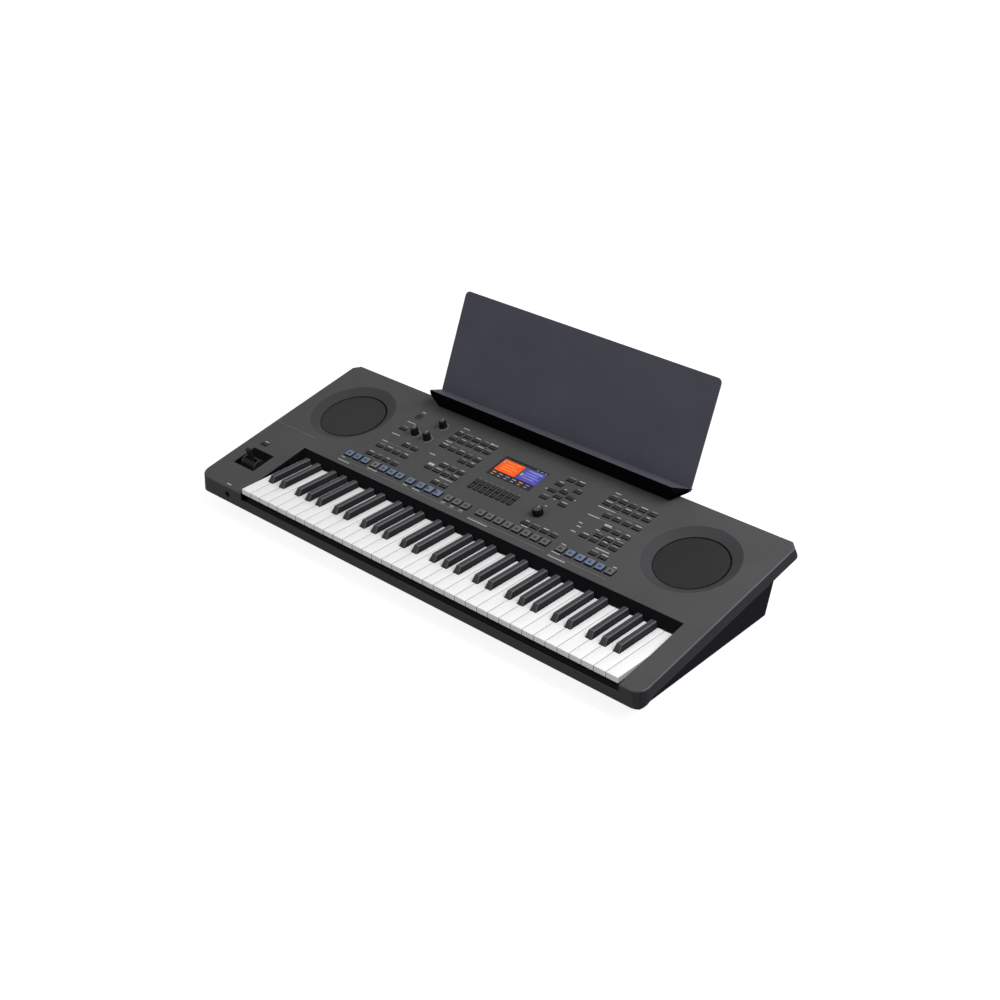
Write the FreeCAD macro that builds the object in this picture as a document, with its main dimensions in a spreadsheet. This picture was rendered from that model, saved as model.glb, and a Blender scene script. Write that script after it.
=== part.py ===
import FreeCAD, Part
import os
import re
import Sketcher

# Arranger keyboard with 61 keys, a sloping control panel, two loudspeakers and a lift-off music rest.
# Millimetres. The origin is on the floor under the middle of the case, X to the player's right,
# Y away from the player, Z up.
# Case frame: x from the left end, y from the front edge, z from the floor.
# Panel frame: x from the left end, y up the slope from the front edge, z out of the panel.

DIMENSIONS = {
    # Case
    "width": 1004,
    "depth": 388,
    "front_height": 64,
    "panel_tilt": 10.55,
    "wall": 3,
    "rim_height": 20.5,
    "rim_draft": 5,
    "rear_chamfer": 13,
    "rear_chamfer_foot": 4,
    "fascia_height": 30.2,
    "fascia_foot": 5,
    "ramp_reach": 28,
    "front_corner_radius": 22,
    "rear_corner_radius": 9,
    "top_edge_radius": 2.5,
    "case_gap": 0.3,
    "cut_overrun": 5,
    # Lower tub
    "foot_height": 7,
    "foot_radius": 9.5,
    "foot_tip_radius": 8,
    "foot_margin": 38,
    "tub_inset": 33.5,
    "tub_draft": 6.6,
    "tub_side_front": 28.8,
    "tub_side_back": 35,
    "tub_front": 34,
    "tub_shoulder": 12,
    # Case screws and their bosses
    "boss_width": 9,
    "boss_margin": 12,
    "boss_first": 130,
    "boss_pitch": 105,
    "screw_radius": 1.5,
    "screw_head_radius": 3.2,
    "screw_head_height": 2,
    "screw_length": 11,
    "screw_gap": 0.1,
    # Key well
    "well_gap_left": 3.9,
    "well_gap_right": 1.8,
    "well_back": 154,
    "well_wall": 2.5,
    "well_wall_foot": 44,
    "slip_height": 16.2,
    "skirt_lean": 13,
    "skirt_gap": 2,
    # Keys
    "first_key": 119.4,
    "key_pitch": 23.37,
    "key_gap": 1,
    "key_front": 1.2,
    "key_top": 74.4,
    "key_lip": 10,
    "key_skin": 2.5,
    "key_side": 1.8,
    "white_length": 137,
    "black_start": 47.5,
    "black_setback": 1,
    "black_rise": 11,
    "black_width": 12,
    "black_top_width": 9.8,
    "black_slope": 7,
    "black_bevel": 1,
    "notch_gap": 0.9,
    "tail_drop": 5,
    "pivot_reach": 195,
    "pivot_drop": 12,
    "pivot_block": 13,
    "pivot_block_foot": 15,
    "rail_radius": 2.5,
    "rail_gap": 0.3,
    "key_travel": 3,
    # Key frame
    "frame_thickness": 3,
    "frame_drop": 28.4,
    "frame_front": 8,
    "frame_back": 12,
    "frame_side": 1.2,
    "riser_thickness": 4,
    "felt_front": 18,
    "felt_width": 26,
    "felt_thickness": 3,
    "felt_gap": 0.3,
    "frame_post": 12,
    "contact_front": 92,
    "contact_width": 40,
    "contact_board": 1.6,
    "contact_strip_width": 18,
    "contact_strip_height": 8.5,
    # Speakers
    "speaker_left": 112,
    "speaker_right": 882.5,
    "speaker_rise": 278,
    "funnel_radius": 80,
    "grille_radius": 62,
    "funnel_depth": 9,
    "funnel_wall": 2.5,
    "grille_thickness": 1.2,
    "grille_gap": 0.25,
    "ledge_width": 5,
    "basket_ring": 10,
    "basket_ring_thickness": 3,
    "basket_depth": 30,
    "basket_foot_radius": 36,
    "basket_wall": 2,
    "magnet_radius": 40,
    "magnet_height": 18,
    "cone_edge_gap": 1,
    "cone_throat_radius": 14,
    "cone_depth": 20,
    "cone_wall": 1,
    # Display
    "display_left": 450.5,
    "display_front": 271,
    "display_width": 98,
    "display_height": 55,
    "lens_recess": 0.8,
    "lens_gap": 0.2,
    "display_margin": 5,
    "module_thickness": 5,
    # Boards under the panel
    "board_left": 190,
    "board_right": 806,
    "board_front": 170,
    "board_back": 344,
    "board_thickness": 1.6,
    "board_drop": 10,
    "mat_thickness": 1,
    "mat_margin": 6,
    "standoff_width": 5,
    "standoff_margin": 3,
    "cheek_board_width": 40,
    "cheek_board_depth": 22,
    # Push buttons
    "button_width": 14.5,
    "button_depth": 6,
    "button_rise": 2,
    "button_bevel": 0.6,
    "button_shank": 7.5,
    "button_gap": 0.25,
    "button_pitch": 20.2,
    "button_travel": 1.2,
    "pad_width": 14.5,
    "pad_depth": 13.5,
    "pad_rise": 3,
    "soft_key_width": 8,
    "soft_key_depth": 11,
    "soft_key_pitch": 12.7,
    # Places of the buttons on the panel
    "row_pads": 185,
    "row_front": 205,
    "row_second": 230.5,
    "row_third": 247.5,
    "row_left_third": 255.5,
    "row_right_third": 243.5,
    "row_right_fourth": 263,
    "row_fourth": 273,
    "row_fifth": 289.5,
    "row_sixth": 314.5,
    "row_seventh": 331,
    "column_left": 231.7,
    "column_style": 332,
    "column_middle": 600,
    "column_right": 682.6,
    "soft_key_first": 453.5,
    "soft_key_front_row": 232,
    "soft_key_back_row": 246,
    "pads_start": 202.2,
    "pads_accent": 267.5,
    "pads_main": 354.3,
    "pads_fill": 379.3,
    "pads_loop": 445.3,
    "pads_memory": 519.3,
    "pads_voice": 694.2,
    "arrow_column": 601,
    "arrow_side": 20,
    "arrow_up_row": 300.5,
    "arrow_down_row": 285.5,
    "arrow_side_row": 294,
    "menu_row": 313,
    "hold_x": 40.5,
    "hold_y": 123,
    "standby_x": 231.5,
    "standby_y": 331,
    "standby_radius": 8,
    "standby_rise": 1,
    # Knobs and dial
    "knob_x_first": 262,
    "knob_x_second": 292,
    "knob_y": 289.5,
    "volume_y": 331,
    "knob_top_radius": 5.8,
    "knob_foot_radius": 7,
    "knob_height": 14.5,
    "knob_lift": 0.6,
    "knob_bevel": 0.7,
    "knob_mark_width": 1.4,
    "knob_mark_depth": 0.5,
    "dial_x": 603,
    "dial_y": 234,
    "dial_top_radius": 8.4,
    "dial_foot_radius": 9,
    "dial_height": 13,
    "shaft_radius": 3,
    "shaft_gap": 0.08,
    "shaft_clear": 0.6,
    "pot_size": 13,
    "pot_top_gap": 0.4,
    # Joystick
    "stick_left": 31.6,
    "stick_front": 56,
    "stick_width": 54,
    "stick_length": 50,
    "stick_wall": 1.6,
    "stick_depth": 22,
    "stick_gap": 0.2,
    "stick_ramp_reach": 18,
    "stick_ramp_drop": 12,
    "drum_y": 77,
    "drum_drop": 9,
    "drum_radius": 13,
    "drum_width": 38,
    "drum_gap": 0.4,
    "axle_radius": 3,
    "bearing_width": 4.6,
    "bearing_length": 11,
    "lever_slot_width": 7,
    "lever_slot_length": 30,
    "lever_slot_depth": 17.5,
    "lever_thickness": 6,
    "lever_width": 9,
    "lever_height": 34,
    "lever_top_width": 13,
    "lever_top_height": 10,
    "lever_pin_radius": 1.5,
    "lever_pin_gap": 0.05,
    "lever_foot": 4,
    # Music rest
    "rest_width": 566,
    "rest_lean": 56.25,
    "rest_height": 185,
    "rest_thickness": 3,
    "rest_corner_radius": 9,
    "rest_front": 370.5,
    "rest_front_rise": 34.5,
    "rest_ledge": 42.6,
    "rest_foot_setback": 4,
    "rest_lip": 4,
    "rest_back": 6.5,
    "rest_back_drop": 7,
    "rest_seat_gap": 0.3,
    "rest_board_gap": 0.1,
    "rest_groove": 5,
    "rest_wall": 3,
    "rest_taper": 9.5,
    "rest_undercut": 26,
    "tab_width": 40,
    "tab_thickness": 3,
    "tab_length": 12,
    "tab_inset": 90,
    "tab_y": 384,
    # Sockets
    "phones_x": 77.8,
    "phones_rise": 14.8,
    "phones_radius": 3.2,
    "phones_bush": 6.2,
    "phones_recess": 1.5,
    "phones_body": 10.6,
    "socket_radius": 5.5,
    "socket_length": 24,
    "socket_gap": 0.15,
    "socket_proud": 1.2,
    "plate_left": 330,
    "plate_width": 300,
    "plate_height": 70,
    "plate_rise": 28.13,
    "plate_split": 224,
    "plate_thickness": 2,
    "plate_gap": 0.2,
    "plate_margin": 14,
    "jack_pitch": 32,
    "jack_count": 5,
    "inlet_x": 200,
    "inlet_radius": 3,
    "usb_x": 242,
    "usb_width": 18,
    "usb_height": 17,
    "usb_length": 16,
    "usb_wall": 4.5,
    "usb_back": 1.5,
    # Main board
    "main_left": 320,
    "main_width": 260,
    "main_front": 225,
    "main_depth": 90,
    "main_rise": 6,
    "main_post": 7,
    "chip_front": 255,
    "chip_size": 28,
    "chip_height": 3,
    "sink_width": 60,
    "sink_depth": 18,
    "sink_height": 22,
}

WHITE_COUNT = 36
WHITE_NAMES = ("c", "d", "e", "f", "g", "a", "b")
# Places of the five black keys of an octave, in white key pitches from its left end.
BLACK_PLACE_SHARES = {
    "c_sharp": 0.9,
    "d_sharp": 2.1,
    "f_sharp": 3 + 6 / 7,
    "g_sharp": 5.0,
    "a_sharp": 6 + 1 / 7,
}
# White keys that have a black key at their right-hand side.
BLACK_AFTER = {"c": "c_sharp", "d": "d_sharp", "f": "f_sharp", "g": "g_sharp", "a": "a_sharp"}
BLACK_BEFORE = {"d": "c_sharp", "e": "d_sharp", "g": "f_sharp", "a": "g_sharp", "b": "a_sharp"}

# Sides of the ribbed knobs and of hidden round forms, and of the screws.
ROUND_SIDES = 24
SCREW_SIDES = 8
# Where repeated supports stand, as shares of the length that carries them.
BACK_SCREW_SHARES = (0.22, 0.41, 0.59, 0.78)
STANDOFF_SHARES = (0.02, 0.27, 0.52, 0.76, 0.98)
FRAME_POST_SHARES = (0.06, 0.35, 0.65, 0.94)

doc = FreeCAD.newDocument("arranger_keyboard")
sheet = doc.addObject("Spreadsheet::Sheet", "Dimensions")
for line, (alias, value) in enumerate(DIMENSIONS.items(), start=1):
    sheet.set(f"A{line}", alias)
    sheet.set(f"B{line}", str(value))
    sheet.setAlias(f"B{line}", alias)
doc.recompute()

X_AXIS = FreeCAD.Vector(1, 0, 0)
Y_AXIS = FreeCAD.Vector(0, 1, 0)
UPRIGHT = FreeCAD.Rotation()
ALONG_X = FreeCAD.Rotation(Y_AXIS, 90)
ALONG_Y = FreeCAD.Rotation(X_AXIS, -90)
WEDGE_UP = FreeCAD.Rotation(X_AXIS, 90)
SIDE_VIEW = FreeCAD.Rotation(0.5, 0.5, 0.5, 0.5)
FRONT_VIEW = FreeCAD.Rotation(X_AXIS, 90)
PLAN_VIEW = FreeCAD.Rotation()

# Heights and places that many pieces share, in the case frame.
SLOPE = "tan(panel_tilt)"
RIM_DROP = "(rim_height / cos(panel_tilt))"
PANEL_LENGTH = "(depth / cos(panel_tilt))"
FASCIA_FOOT = "(front_height - fascia_height)"
SLIP_TOP = f"({FASCIA_FOOT} + slip_height)"
WELL_BACK_Y = "(well_back * cos(panel_tilt))"
WELL_BACK_Z = "(front_height + well_back * sin(panel_tilt))"
WELL_LEFT = "(first_key - well_gap_left)"
KEYS_WIDTH = f"({WHITE_COUNT} * key_pitch)"
WELL_RIGHT = f"(first_key + {KEYS_WIDTH} + well_gap_right)"
KEY_FOOT = "(key_top - key_lip)"
PIVOT_Y = "(key_front + pivot_reach)"
PIVOT_Z = "(key_top - pivot_drop)"
FRAME_TOP = "(key_top - frame_drop + frame_thickness)"
TUB_FLOOR = "(foot_height + wall)"
REAR_RIM_Z = f"(front_height + depth * {SLOPE} - {RIM_DROP})"
BOARD_TOP = "(-board_drop)"

NODES = []


def formula(text):
    """Put the sheet's name before each dimension that an expression names."""
    def cell(match):
        word = match.group(0)
        return f"Dimensions.{word}" if word in DIMENSIONS else word
    return re.sub(r"[a-z]\w*", cell, str(text))


def bind(item, settings):
    for name, text in settings.items():
        item.setExpression(name, formula(text))


def place(item, corner, turn=UPRIGHT):
    """Turn an object and bind its base point."""
    item.Placement = FreeCAD.Placement(FreeCAD.Vector(), turn)
    for axis, text in zip("xyz", corner):
        if text != 0:
            item.setExpression(f"Placement.Base.{axis}", formula(text))
    return item


def box(corner, size):
    item = doc.addObject("Part::Box", "box")
    bind(item, dict(zip(("Length", "Width", "Height"), size)))
    return place(item, corner)


def cylinder(base, radius, height, turn=UPRIGHT):
    item = doc.addObject("Part::Cylinder", "cylinder")
    bind(item, {"Radius": radius, "Height": height})
    return place(item, base, turn)


def cone(base, foot_radius, top_radius, height):
    item = doc.addObject("Part::Cone", "cone")
    bind(item, {"Radius1": foot_radius, "Radius2": top_radius, "Height": height})
    return place(item, base)


def many_sided(base, sides, radius, height):
    item = doc.addObject("Part::Prism", "many_sided")
    item.Polygon = sides
    bind(item, {"Circumradius": radius, "Height": height})
    return place(item, base)


def tapered(base, foot_radius, top_radius, height):
    """A many-sided body between two rings of unlike size."""
    x, y, z = base
    rings = []
    for radius, level in ((foot_radius, z), (top_radius, f"{z} + {height}")):
        ring = doc.addObject("Part::RegularPolygon", "ring")
        ring.Polygon = ROUND_SIDES
        bind(ring, {"Circumradius": radius})
        rings.append(place(ring, (x, y, level)))
    item = doc.addObject("Part::Loft", "tapered")
    item.Sections = rings
    item.Solid = True
    item.Ruled = True
    return item


def post(x, y, low, wide, height):
    """A square post around a place."""
    return box((f"{x} - {wide} / 2", f"{y} - {wide} / 2", low), (wide, wide, height))


def frustum(low, high, x_span, y_span, top_x_span, top_y_span):
    """A block with a smaller top, from one height to another, each span a pair of places."""
    item = doc.addObject("Part::Wedge", "frustum")
    bind(item, {
        "Ymin": low, "Ymax": high,
        "Xmin": x_span[0], "Xmax": x_span[1],
        "Zmin": f"-({y_span[1]})", "Zmax": f"-({y_span[0]})",
        "X2min": top_x_span[0], "X2max": top_x_span[1],
        "Z2min": f"-({top_y_span[1]})", "Z2max": f"-({top_y_span[0]})",
    })
    item.Placement = FreeCAD.Placement(FreeCAD.Vector(), WEDGE_UP)
    return item


def fuse(items):
    if len(items) == 1:
        return items[0]
    item = doc.addObject("Part::MultiFuse", "fuse")
    item.Shapes = items
    return item


def group(items):
    item = doc.addObject("Part::Compound", "group")
    item.Links = items
    return item


def cut(base, tools):
    item = doc.addObject("Part::Cut", "cut")
    item.Base = base
    item.Tool = group(tools) if len(tools) > 1 else tools[0]
    return item


def common(first, second):
    item = doc.addObject("Part::Common", "common")
    item.Base = first
    item.Tool = second
    return item


def outline(points, view, start):
    """A closed sketch through bound points, seen from the side, the front or above."""
    sketch = doc.addObject("Sketcher::SketchObject", "outline")
    sketch.Placement = FreeCAD.Placement(FreeCAD.Vector(), view)
    if start != 0:
        along = "x" if view is SIDE_VIEW else "y" if view is FRONT_VIEW else "z"
        sketch.setExpression(f"Placement.Base.{along}", formula(start))
    count = len(points)
    first = [FreeCAD.Vector(*(sheet_value(text) for text in point), 0) for point in points]
    for index in range(count):
        sketch.addGeometry(Part.LineSegment(first[index], first[(index + 1) % count]), False)
    for index in range(count):
        sketch.addConstraint(Sketcher.Constraint("Coincident", index, 2, (index + 1) % count, 1))
    for index, point in enumerate(points):
        for kind, text, guess in zip(("DistanceX", "DistanceY"), point, first[index]):
            place_number = sketch.addConstraint(Sketcher.Constraint(kind, -1, 1, index, 1, guess))
            sketch.setExpression(f"Constraints[{place_number}]", formula(text))
    return sketch


def sheet_value(text):
    """The present value of an expression, as the sketch's first guess."""
    probe = sheet.evalExpression(formula(text))
    return float(getattr(probe, "Value", probe))


def prism(points, start, length, view=SIDE_VIEW):
    """An outline pulled along X, Y or Z."""
    item = doc.addObject("Part::Extrusion", "prism")
    item.Base = outline(points, view, start)
    item.DirMode = "Normal"
    item.Solid = True
    item.setExpression("LengthFwd", formula(length))
    return item


def between(first, second):
    """A solid with straight edges from one outline to another."""
    item = doc.addObject("Part::Loft", "between")
    item.Sections = [first, second]
    item.Solid = True
    item.Ruled = True
    return item


def plan_edges(inset, level):
    """How far in the ends lie, and how far back the rear lies, at a height over the panel."""
    side = f"({inset} + ({level} + rim_height) * tan(rim_draft))"
    rear = f"((depth - ({inset}) + {level} * sin(panel_tilt)) / cos(panel_tilt))"
    return side, rear


def rear_corner(inset, mirror):
    """The slanting flat that takes off a rear corner, wider towards the panel."""
    faces = []
    for level, leg in (
            ("(-rim_height)", "rear_chamfer_foot"), ("rim_height", "(2 * rear_chamfer - rear_chamfer_foot)")):
        side, rear = plan_edges(inset, level)
        points = [
            (f"{side} + {leg} + cut_overrun", f"{rear} + cut_overrun"),
            (f"{side} - cut_overrun", f"{rear} - {leg} - cut_overrun"),
            (f"{side} - cut_overrun", f"{rear} + cut_overrun"),
        ]
        if mirror:
            points = [(f"width - ({x})", y) for x, y in points]
        faces.append(outline(points, PLAN_VIEW, level))
    return between(faces[0], faces[1])


def rounded_plan(inset):
    """The case's outline square to the panel, with drafted ends and round corners, set in by a distance."""
    low, high = "(-depth)", "rim_height"
    x_spans, y_spans = [], []
    for level in (low, high):
        side, rear = plan_edges(inset, level)
        x_spans.append((side, f"(width - {side})"))
        y_spans.append((f"(({inset} + {level} * sin(panel_tilt)) / cos(panel_tilt))", rear))
    base = frustum(low, high, x_spans[0], y_spans[0], x_spans[1], y_spans[1])
    doc.recompute()
    item = doc.addObject("Part::Fillet", "corners")
    item.Base = base
    middle = base.Shape.BoundBox.Center.y
    front_radius = sheet_value(f"front_corner_radius - ({inset})")
    rear_radius = sheet_value(f"rear_corner_radius - ({inset})")
    edges = []
    for number, edge in enumerate(base.Shape.Edges, start=1):
        bounds = edge.BoundBox
        if bounds.ZLength > bounds.XLength + bounds.YLength:
            radius = front_radius if bounds.Center.y < middle else rear_radius
            edges.append((number, radius, radius))
    item.Edges = edges
    return in_panel_frame(cut(item, [rear_corner(inset, False), rear_corner(inset, True)]))


def in_panel_frame(item, x="0", y="0"):
    """Lay a piece that was made in the panel frame on the sloping panel."""
    item.Placement = FreeCAD.Placement(FreeCAD.Vector(), FreeCAD.Rotation(X_AXIS, sheet.panel_tilt))
    bind(item, {
        "Placement.Base.x": x,
        "Placement.Base.y": y,
        "Placement.Base.z": "front_height",
        "Placement.Rotation.Angle": "panel_tilt",
    })
    return item


def case_node(label, item):
    """Name a finished sub-part that was made in the case frame."""
    bind(item, {"Placement.Base.x": "-width / 2", "Placement.Base.y": "-depth / 2"})
    item.Label = label
    NODES.append(item)


def panel_node(label, item):
    """Name a finished sub-part that was made in the panel frame."""
    in_panel_frame(item, "-width / 2", "-depth / 2")
    item.Label = label
    NODES.append(item)


# Push buttons: every button is a cap on a shank that passes through its own hole in the panel.

BUTTON = ("button_width", "button_depth", "button_rise")
PAD = ("pad_width", "pad_depth", "pad_rise")
SOFT_KEY = ("soft_key_width", "soft_key_depth", "button_rise")


def row_of(kind, first, pitch, count, row, start=0):
    """Buttons of one kind side by side: kind, x and y of each."""
    return [(kind, f"({first} + {number} * {pitch})", row) for number in range(start, start + count)]


def block(column, rows):
    """Small buttons in columns, as (row, first column, count)."""
    places = []
    for row, start, count in rows:
        places += row_of(BUTTON, column, "button_pitch", count, row, start)
    return places


def pads(first, count):
    return row_of(PAD, first, "button_pitch", count, "row_pads")


ARROWS = [
    (BUTTON, "(arrow_column - button_pitch / 2)", "row_seventh"),
    (BUTTON, "(arrow_column + button_pitch / 2)", "row_seventh"),
    (BUTTON, "(arrow_column - arrow_side)", "menu_row"),
    (BUTTON, "(arrow_column + arrow_side)", "menu_row"),
    (BUTTON, "arrow_column", "arrow_up_row"),
    (BUTTON, "arrow_column", "arrow_down_row"),
    (BUTTON, "(arrow_column - arrow_side)", "arrow_side_row"),
    (BUTTON, "(arrow_column + arrow_side)", "arrow_side_row"),
    (BUTTON, "(arrow_column - arrow_side)", "row_fourth"),
    (BUTTON, "(arrow_column + arrow_side)", "row_fourth"),
]

BUTTON_GROUPS = {
    "start_pads": pads("pads_start", 3),
    "accent_pads": pads("pads_accent", 4),
    "fill_pads": pads("pads_main", 1) + pads("pads_fill", 3),
    "loop_pads": pads("pads_loop", 3),
    "memory_pads": pads("pads_memory", 8),
    "voice_pads": pads("pads_voice", 6),
    "song_buttons": block("column_left", [
        ("row_front", 0, 4), ("row_second", 0, 4), ("row_left_third", 2, 2)]),
    "assign_button": block("column_left", [("row_fifth", 0, 1)]),
    "style_buttons": block("column_style", [
        ("row_fourth", 3, 2), ("row_fifth", 0, 5), ("row_sixth", 0, 5), ("row_seventh", 0, 5)]),
    "tempo_buttons": block("column_style", [
        ("row_front", 3, 2), ("row_second", 1, 4), ("row_third", 2, 3)]),
    "soft_keys": row_of(SOFT_KEY, "soft_key_first", "soft_key_pitch", 8, "soft_key_front_row")
    + row_of(SOFT_KEY, "soft_key_first", "soft_key_pitch", 8, "soft_key_back_row"),
    "arrow_buttons": ARROWS + block("column_middle", [("row_front", 0, 4)]),
    "voice_buttons": block("column_right", [
        ("row_fifth", 1, 4), ("row_sixth", 0, 5), ("row_seventh", 0, 5)]),
    "part_buttons": block("column_right", [
        ("row_front", 3, 2), ("row_second", 1, 4), ("row_right_third", 2, 3), ("row_right_fourth", 2, 3)]),
    "hold_button": [(BUTTON, "hold_x", "hold_y")],
}


def button(kind, x, y):
    wide, deep, rise = kind
    shank = box(
        (f"{x} - {wide} / 2", f"{y} - {deep} / 2", "-button_shank"),
        (wide, deep, f"button_shank + {rise} - button_bevel"))
    cap = frustum(
        f"{rise} - button_bevel", rise,
        (f"{x} - {wide} / 2", f"{x} + {wide} / 2"), (f"{y} - {deep} / 2", f"{y} + {deep} / 2"),
        (f"{x} - {wide} / 2 + button_bevel", f"{x} + {wide} / 2 - button_bevel"),
        (f"{y} - {deep} / 2 + button_bevel", f"{y} + {deep} / 2 - button_bevel"))
    return fuse([shank, cap])


def button_hole(kind, x, y):
    wide, deep, _ = kind
    return box(
        (f"{x} - {wide} / 2 - button_gap", f"{y} - {deep} / 2 - button_gap", "-wall - cut_overrun"),
        (f"{wide} + 2 * button_gap", f"{deep} + 2 * button_gap", "wall + 2 * cut_overrun"))


def make_buttons():
    for label, places in BUTTON_GROUPS.items():
        caps = [button(*spot) for spot in places]
        panel_node(label, group(caps) if len(caps) > 1 else caps[0])
    shank = cylinder(
        ("standby_x", "standby_y", "-button_shank"), "standby_radius",
        "button_shank + standby_rise - button_bevel")
    cap = cone(
        ("standby_x", "standby_y", "standby_rise - button_bevel"),
        "standby_radius", "standby_radius - button_bevel", "button_bevel")
    panel_node("standby_button", fuse([shank, cap]))


# Knobs: a ribbed, tapered cap on a shaft that turns in the bore of its control on the panel board.

KNOB = ("knob_foot_radius", "knob_top_radius", "knob_height")
DIAL = ("dial_foot_radius", "dial_top_radius", "dial_height")
KNOBS = {
    "control_knob_left": (KNOB, "knob_x_first", "knob_y"),
    "control_knob_right": (KNOB, "knob_x_second", "knob_y"),
    "volume_knob": (KNOB, "knob_x_second", "volume_y"),
    "data_dial": (DIAL, "dial_x", "dial_y"),
}


def knob(kind, x, y):
    foot, top, height = kind
    body = tapered((x, y, "knob_lift"), foot, top, f"{height} - knob_lift - knob_bevel")
    rim = tapered((x, y, f"{height} - knob_bevel"), top, f"{top} - knob_bevel", "knob_bevel")
    shaft = cylinder((x, y, f"{BOARD_TOP} + shaft_clear"), "shaft_radius", "board_drop + knob_lift")
    mark = box(
        (f"{x} - knob_mark_width / 2", y, f"{height} - knob_mark_depth"),
        ("knob_mark_width", top, "knob_mark_depth + cut_overrun"))
    return cut(fuse([body, rim, shaft]), [mark])


def knob_controls():
    """The controls that carry the knobs, as parts of the panel board."""
    bodies = []
    for _, x, y in KNOBS.values():
        body = post(x, y, BOARD_TOP, "pot_size", "board_drop - wall - pot_top_gap")
        bore = cylinder((x, y, f"{BOARD_TOP} + shaft_clear / 2"), "shaft_radius + shaft_gap", "board_drop")
        bodies.append(cut(body, [bore]))
    return bodies


def make_knobs():
    for label, spot in KNOBS.items():
        panel_node(label, knob(*spot))


# Upper case: one moulding with the panel, the speaker funnels, the key well and the rim.

def case_outline():
    return [
        ("0", FASCIA_FOOT),
        ("fascia_foot", FASCIA_FOOT),
        ("ramp_reach", f"front_height + ramp_reach * {SLOPE} - {RIM_DROP}"),
        ("depth", REAR_RIM_Z),
        ("depth", f"front_height + depth * {SLOPE}"),
        ("0", "front_height"),
    ]


def case_hollow():
    under = "(wall / cos(panel_tilt))"
    return [
        ("wall", "0"),
        ("depth - wall", "0"),
        ("depth - wall", f"front_height + (depth - wall) * {SLOPE} - {under}"),
        ("wall", f"front_height + wall * {SLOPE} - {under}"),
    ]


def soft_top_edges(base):
    """Round the outer edge of the panel all the way round."""
    doc.recompute()
    item = doc.addObject("Part::Fillet", "top_edges")
    item.Base = base
    radius = sheet_value("top_edge_radius")
    tilt = sheet_value("panel_tilt")
    normal = FreeCAD.Rotation(X_AXIS, tilt).multVec(FreeCAD.Vector(0, 0, 1))
    panel = max(base.Shape.Faces, key=lambda face: face.normalAt(0, 0).dot(normal) * face.Area)
    edges = []
    for number, edge in enumerate(base.Shape.Edges, start=1):
        if any(edge.isSame(border) for border in panel.OuterWire.Edges):
            edges.append((number, radius, radius))
    item.Edges = edges
    return item


def well_cut():
    return box(
        (WELL_LEFT, "-cut_overrun", SLIP_TOP),
        (f"{WELL_RIGHT} - {WELL_LEFT}", f"{WELL_BACK_Y} + cut_overrun", "depth"))


def well_sides():
    """The two walls beside the keys, hanging from the cheeks."""
    sides = []
    under = f"{SLOPE} * {WELL_BACK_Y}"
    points = [
        ("wall / 2", "well_wall_foot"),
        (WELL_BACK_Y, "well_wall_foot"),
        (WELL_BACK_Y, f"front_height + {under} - wall / 2"),
        ("wall / 2", "front_height - wall / 2"),
    ]
    for x in (f"{WELL_LEFT} - well_wall", WELL_RIGHT):
        sides.append(prism(points, x, "well_wall"))
    return sides


def well_skirt():
    """The wall behind the keys, which leans forward down to the white keys."""
    low = "(key_top + skirt_gap)"
    points = [
        (WELL_BACK_Y, f"{WELL_BACK_Z} - wall / 2"),
        (f"{WELL_BACK_Y} - skirt_lean", low),
        (f"{WELL_BACK_Y} - skirt_lean + well_wall", low),
        (f"{WELL_BACK_Y} + well_wall", f"{WELL_BACK_Z} - wall / 2"),
    ]
    return prism(points, f"{WELL_LEFT} - well_wall", f"{WELL_RIGHT} - {WELL_LEFT} + 2 * well_wall")


SPEAKERS = ("speaker_left", "speaker_right")


def funnel_adds():
    """A sloping ring and, at its foot, the ledge that carries the grille and the speaker."""
    adds = []
    for x in SPEAKERS:
        spot = (x, "speaker_rise", "-funnel_depth")
        adds.append(cone(spot, "grille_radius + funnel_wall", "funnel_radius + funnel_wall", "funnel_depth"))
        low = (x, "speaker_rise", "-funnel_depth - funnel_wall")
        adds.append(cylinder(low, "grille_radius + funnel_wall", "funnel_wall"))
    return adds


def funnel_cuts():
    cuts = []
    for x in SPEAKERS:
        spot = (x, "speaker_rise", "-funnel_depth")
        flare = "(funnel_radius - grille_radius) * cut_overrun / funnel_depth"
        cuts.append(cone(spot, "grille_radius", f"funnel_radius + {flare}", "funnel_depth + cut_overrun"))
        low = (x, "speaker_rise", "-funnel_depth - funnel_wall - cut_overrun")
        cuts.append(cylinder(low, "grille_radius - ledge_width", "funnel_depth"))
    return cuts


def end_screws():
    """Screws along both ends, inside the rim."""
    places = []
    for number in range(3):
        along = f"(boss_first + {number} * boss_pitch)"
        places.append(("boss_margin", along))
        places.append(("(width - boss_margin)", along))
    return places


def back_screws():
    """Screws along the back, inside the rim."""
    return [(f"({share} * width)", f"({PANEL_LENGTH} - boss_margin)") for share in BACK_SCREW_SHARES]


def standoff_places():
    places = []
    for share in STANDOFF_SHARES:
        across = f"(board_left + {share} * (board_right - board_left))"
        places.append((across, "(board_front + standoff_margin)"))
        places.append((across, "(board_back - standoff_margin)"))
    for side in (-1, 1):
        places.append((f"(hold_x + {side} * (cheek_board_width / 2 - standoff_margin))", "hold_y"))
    return places


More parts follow.
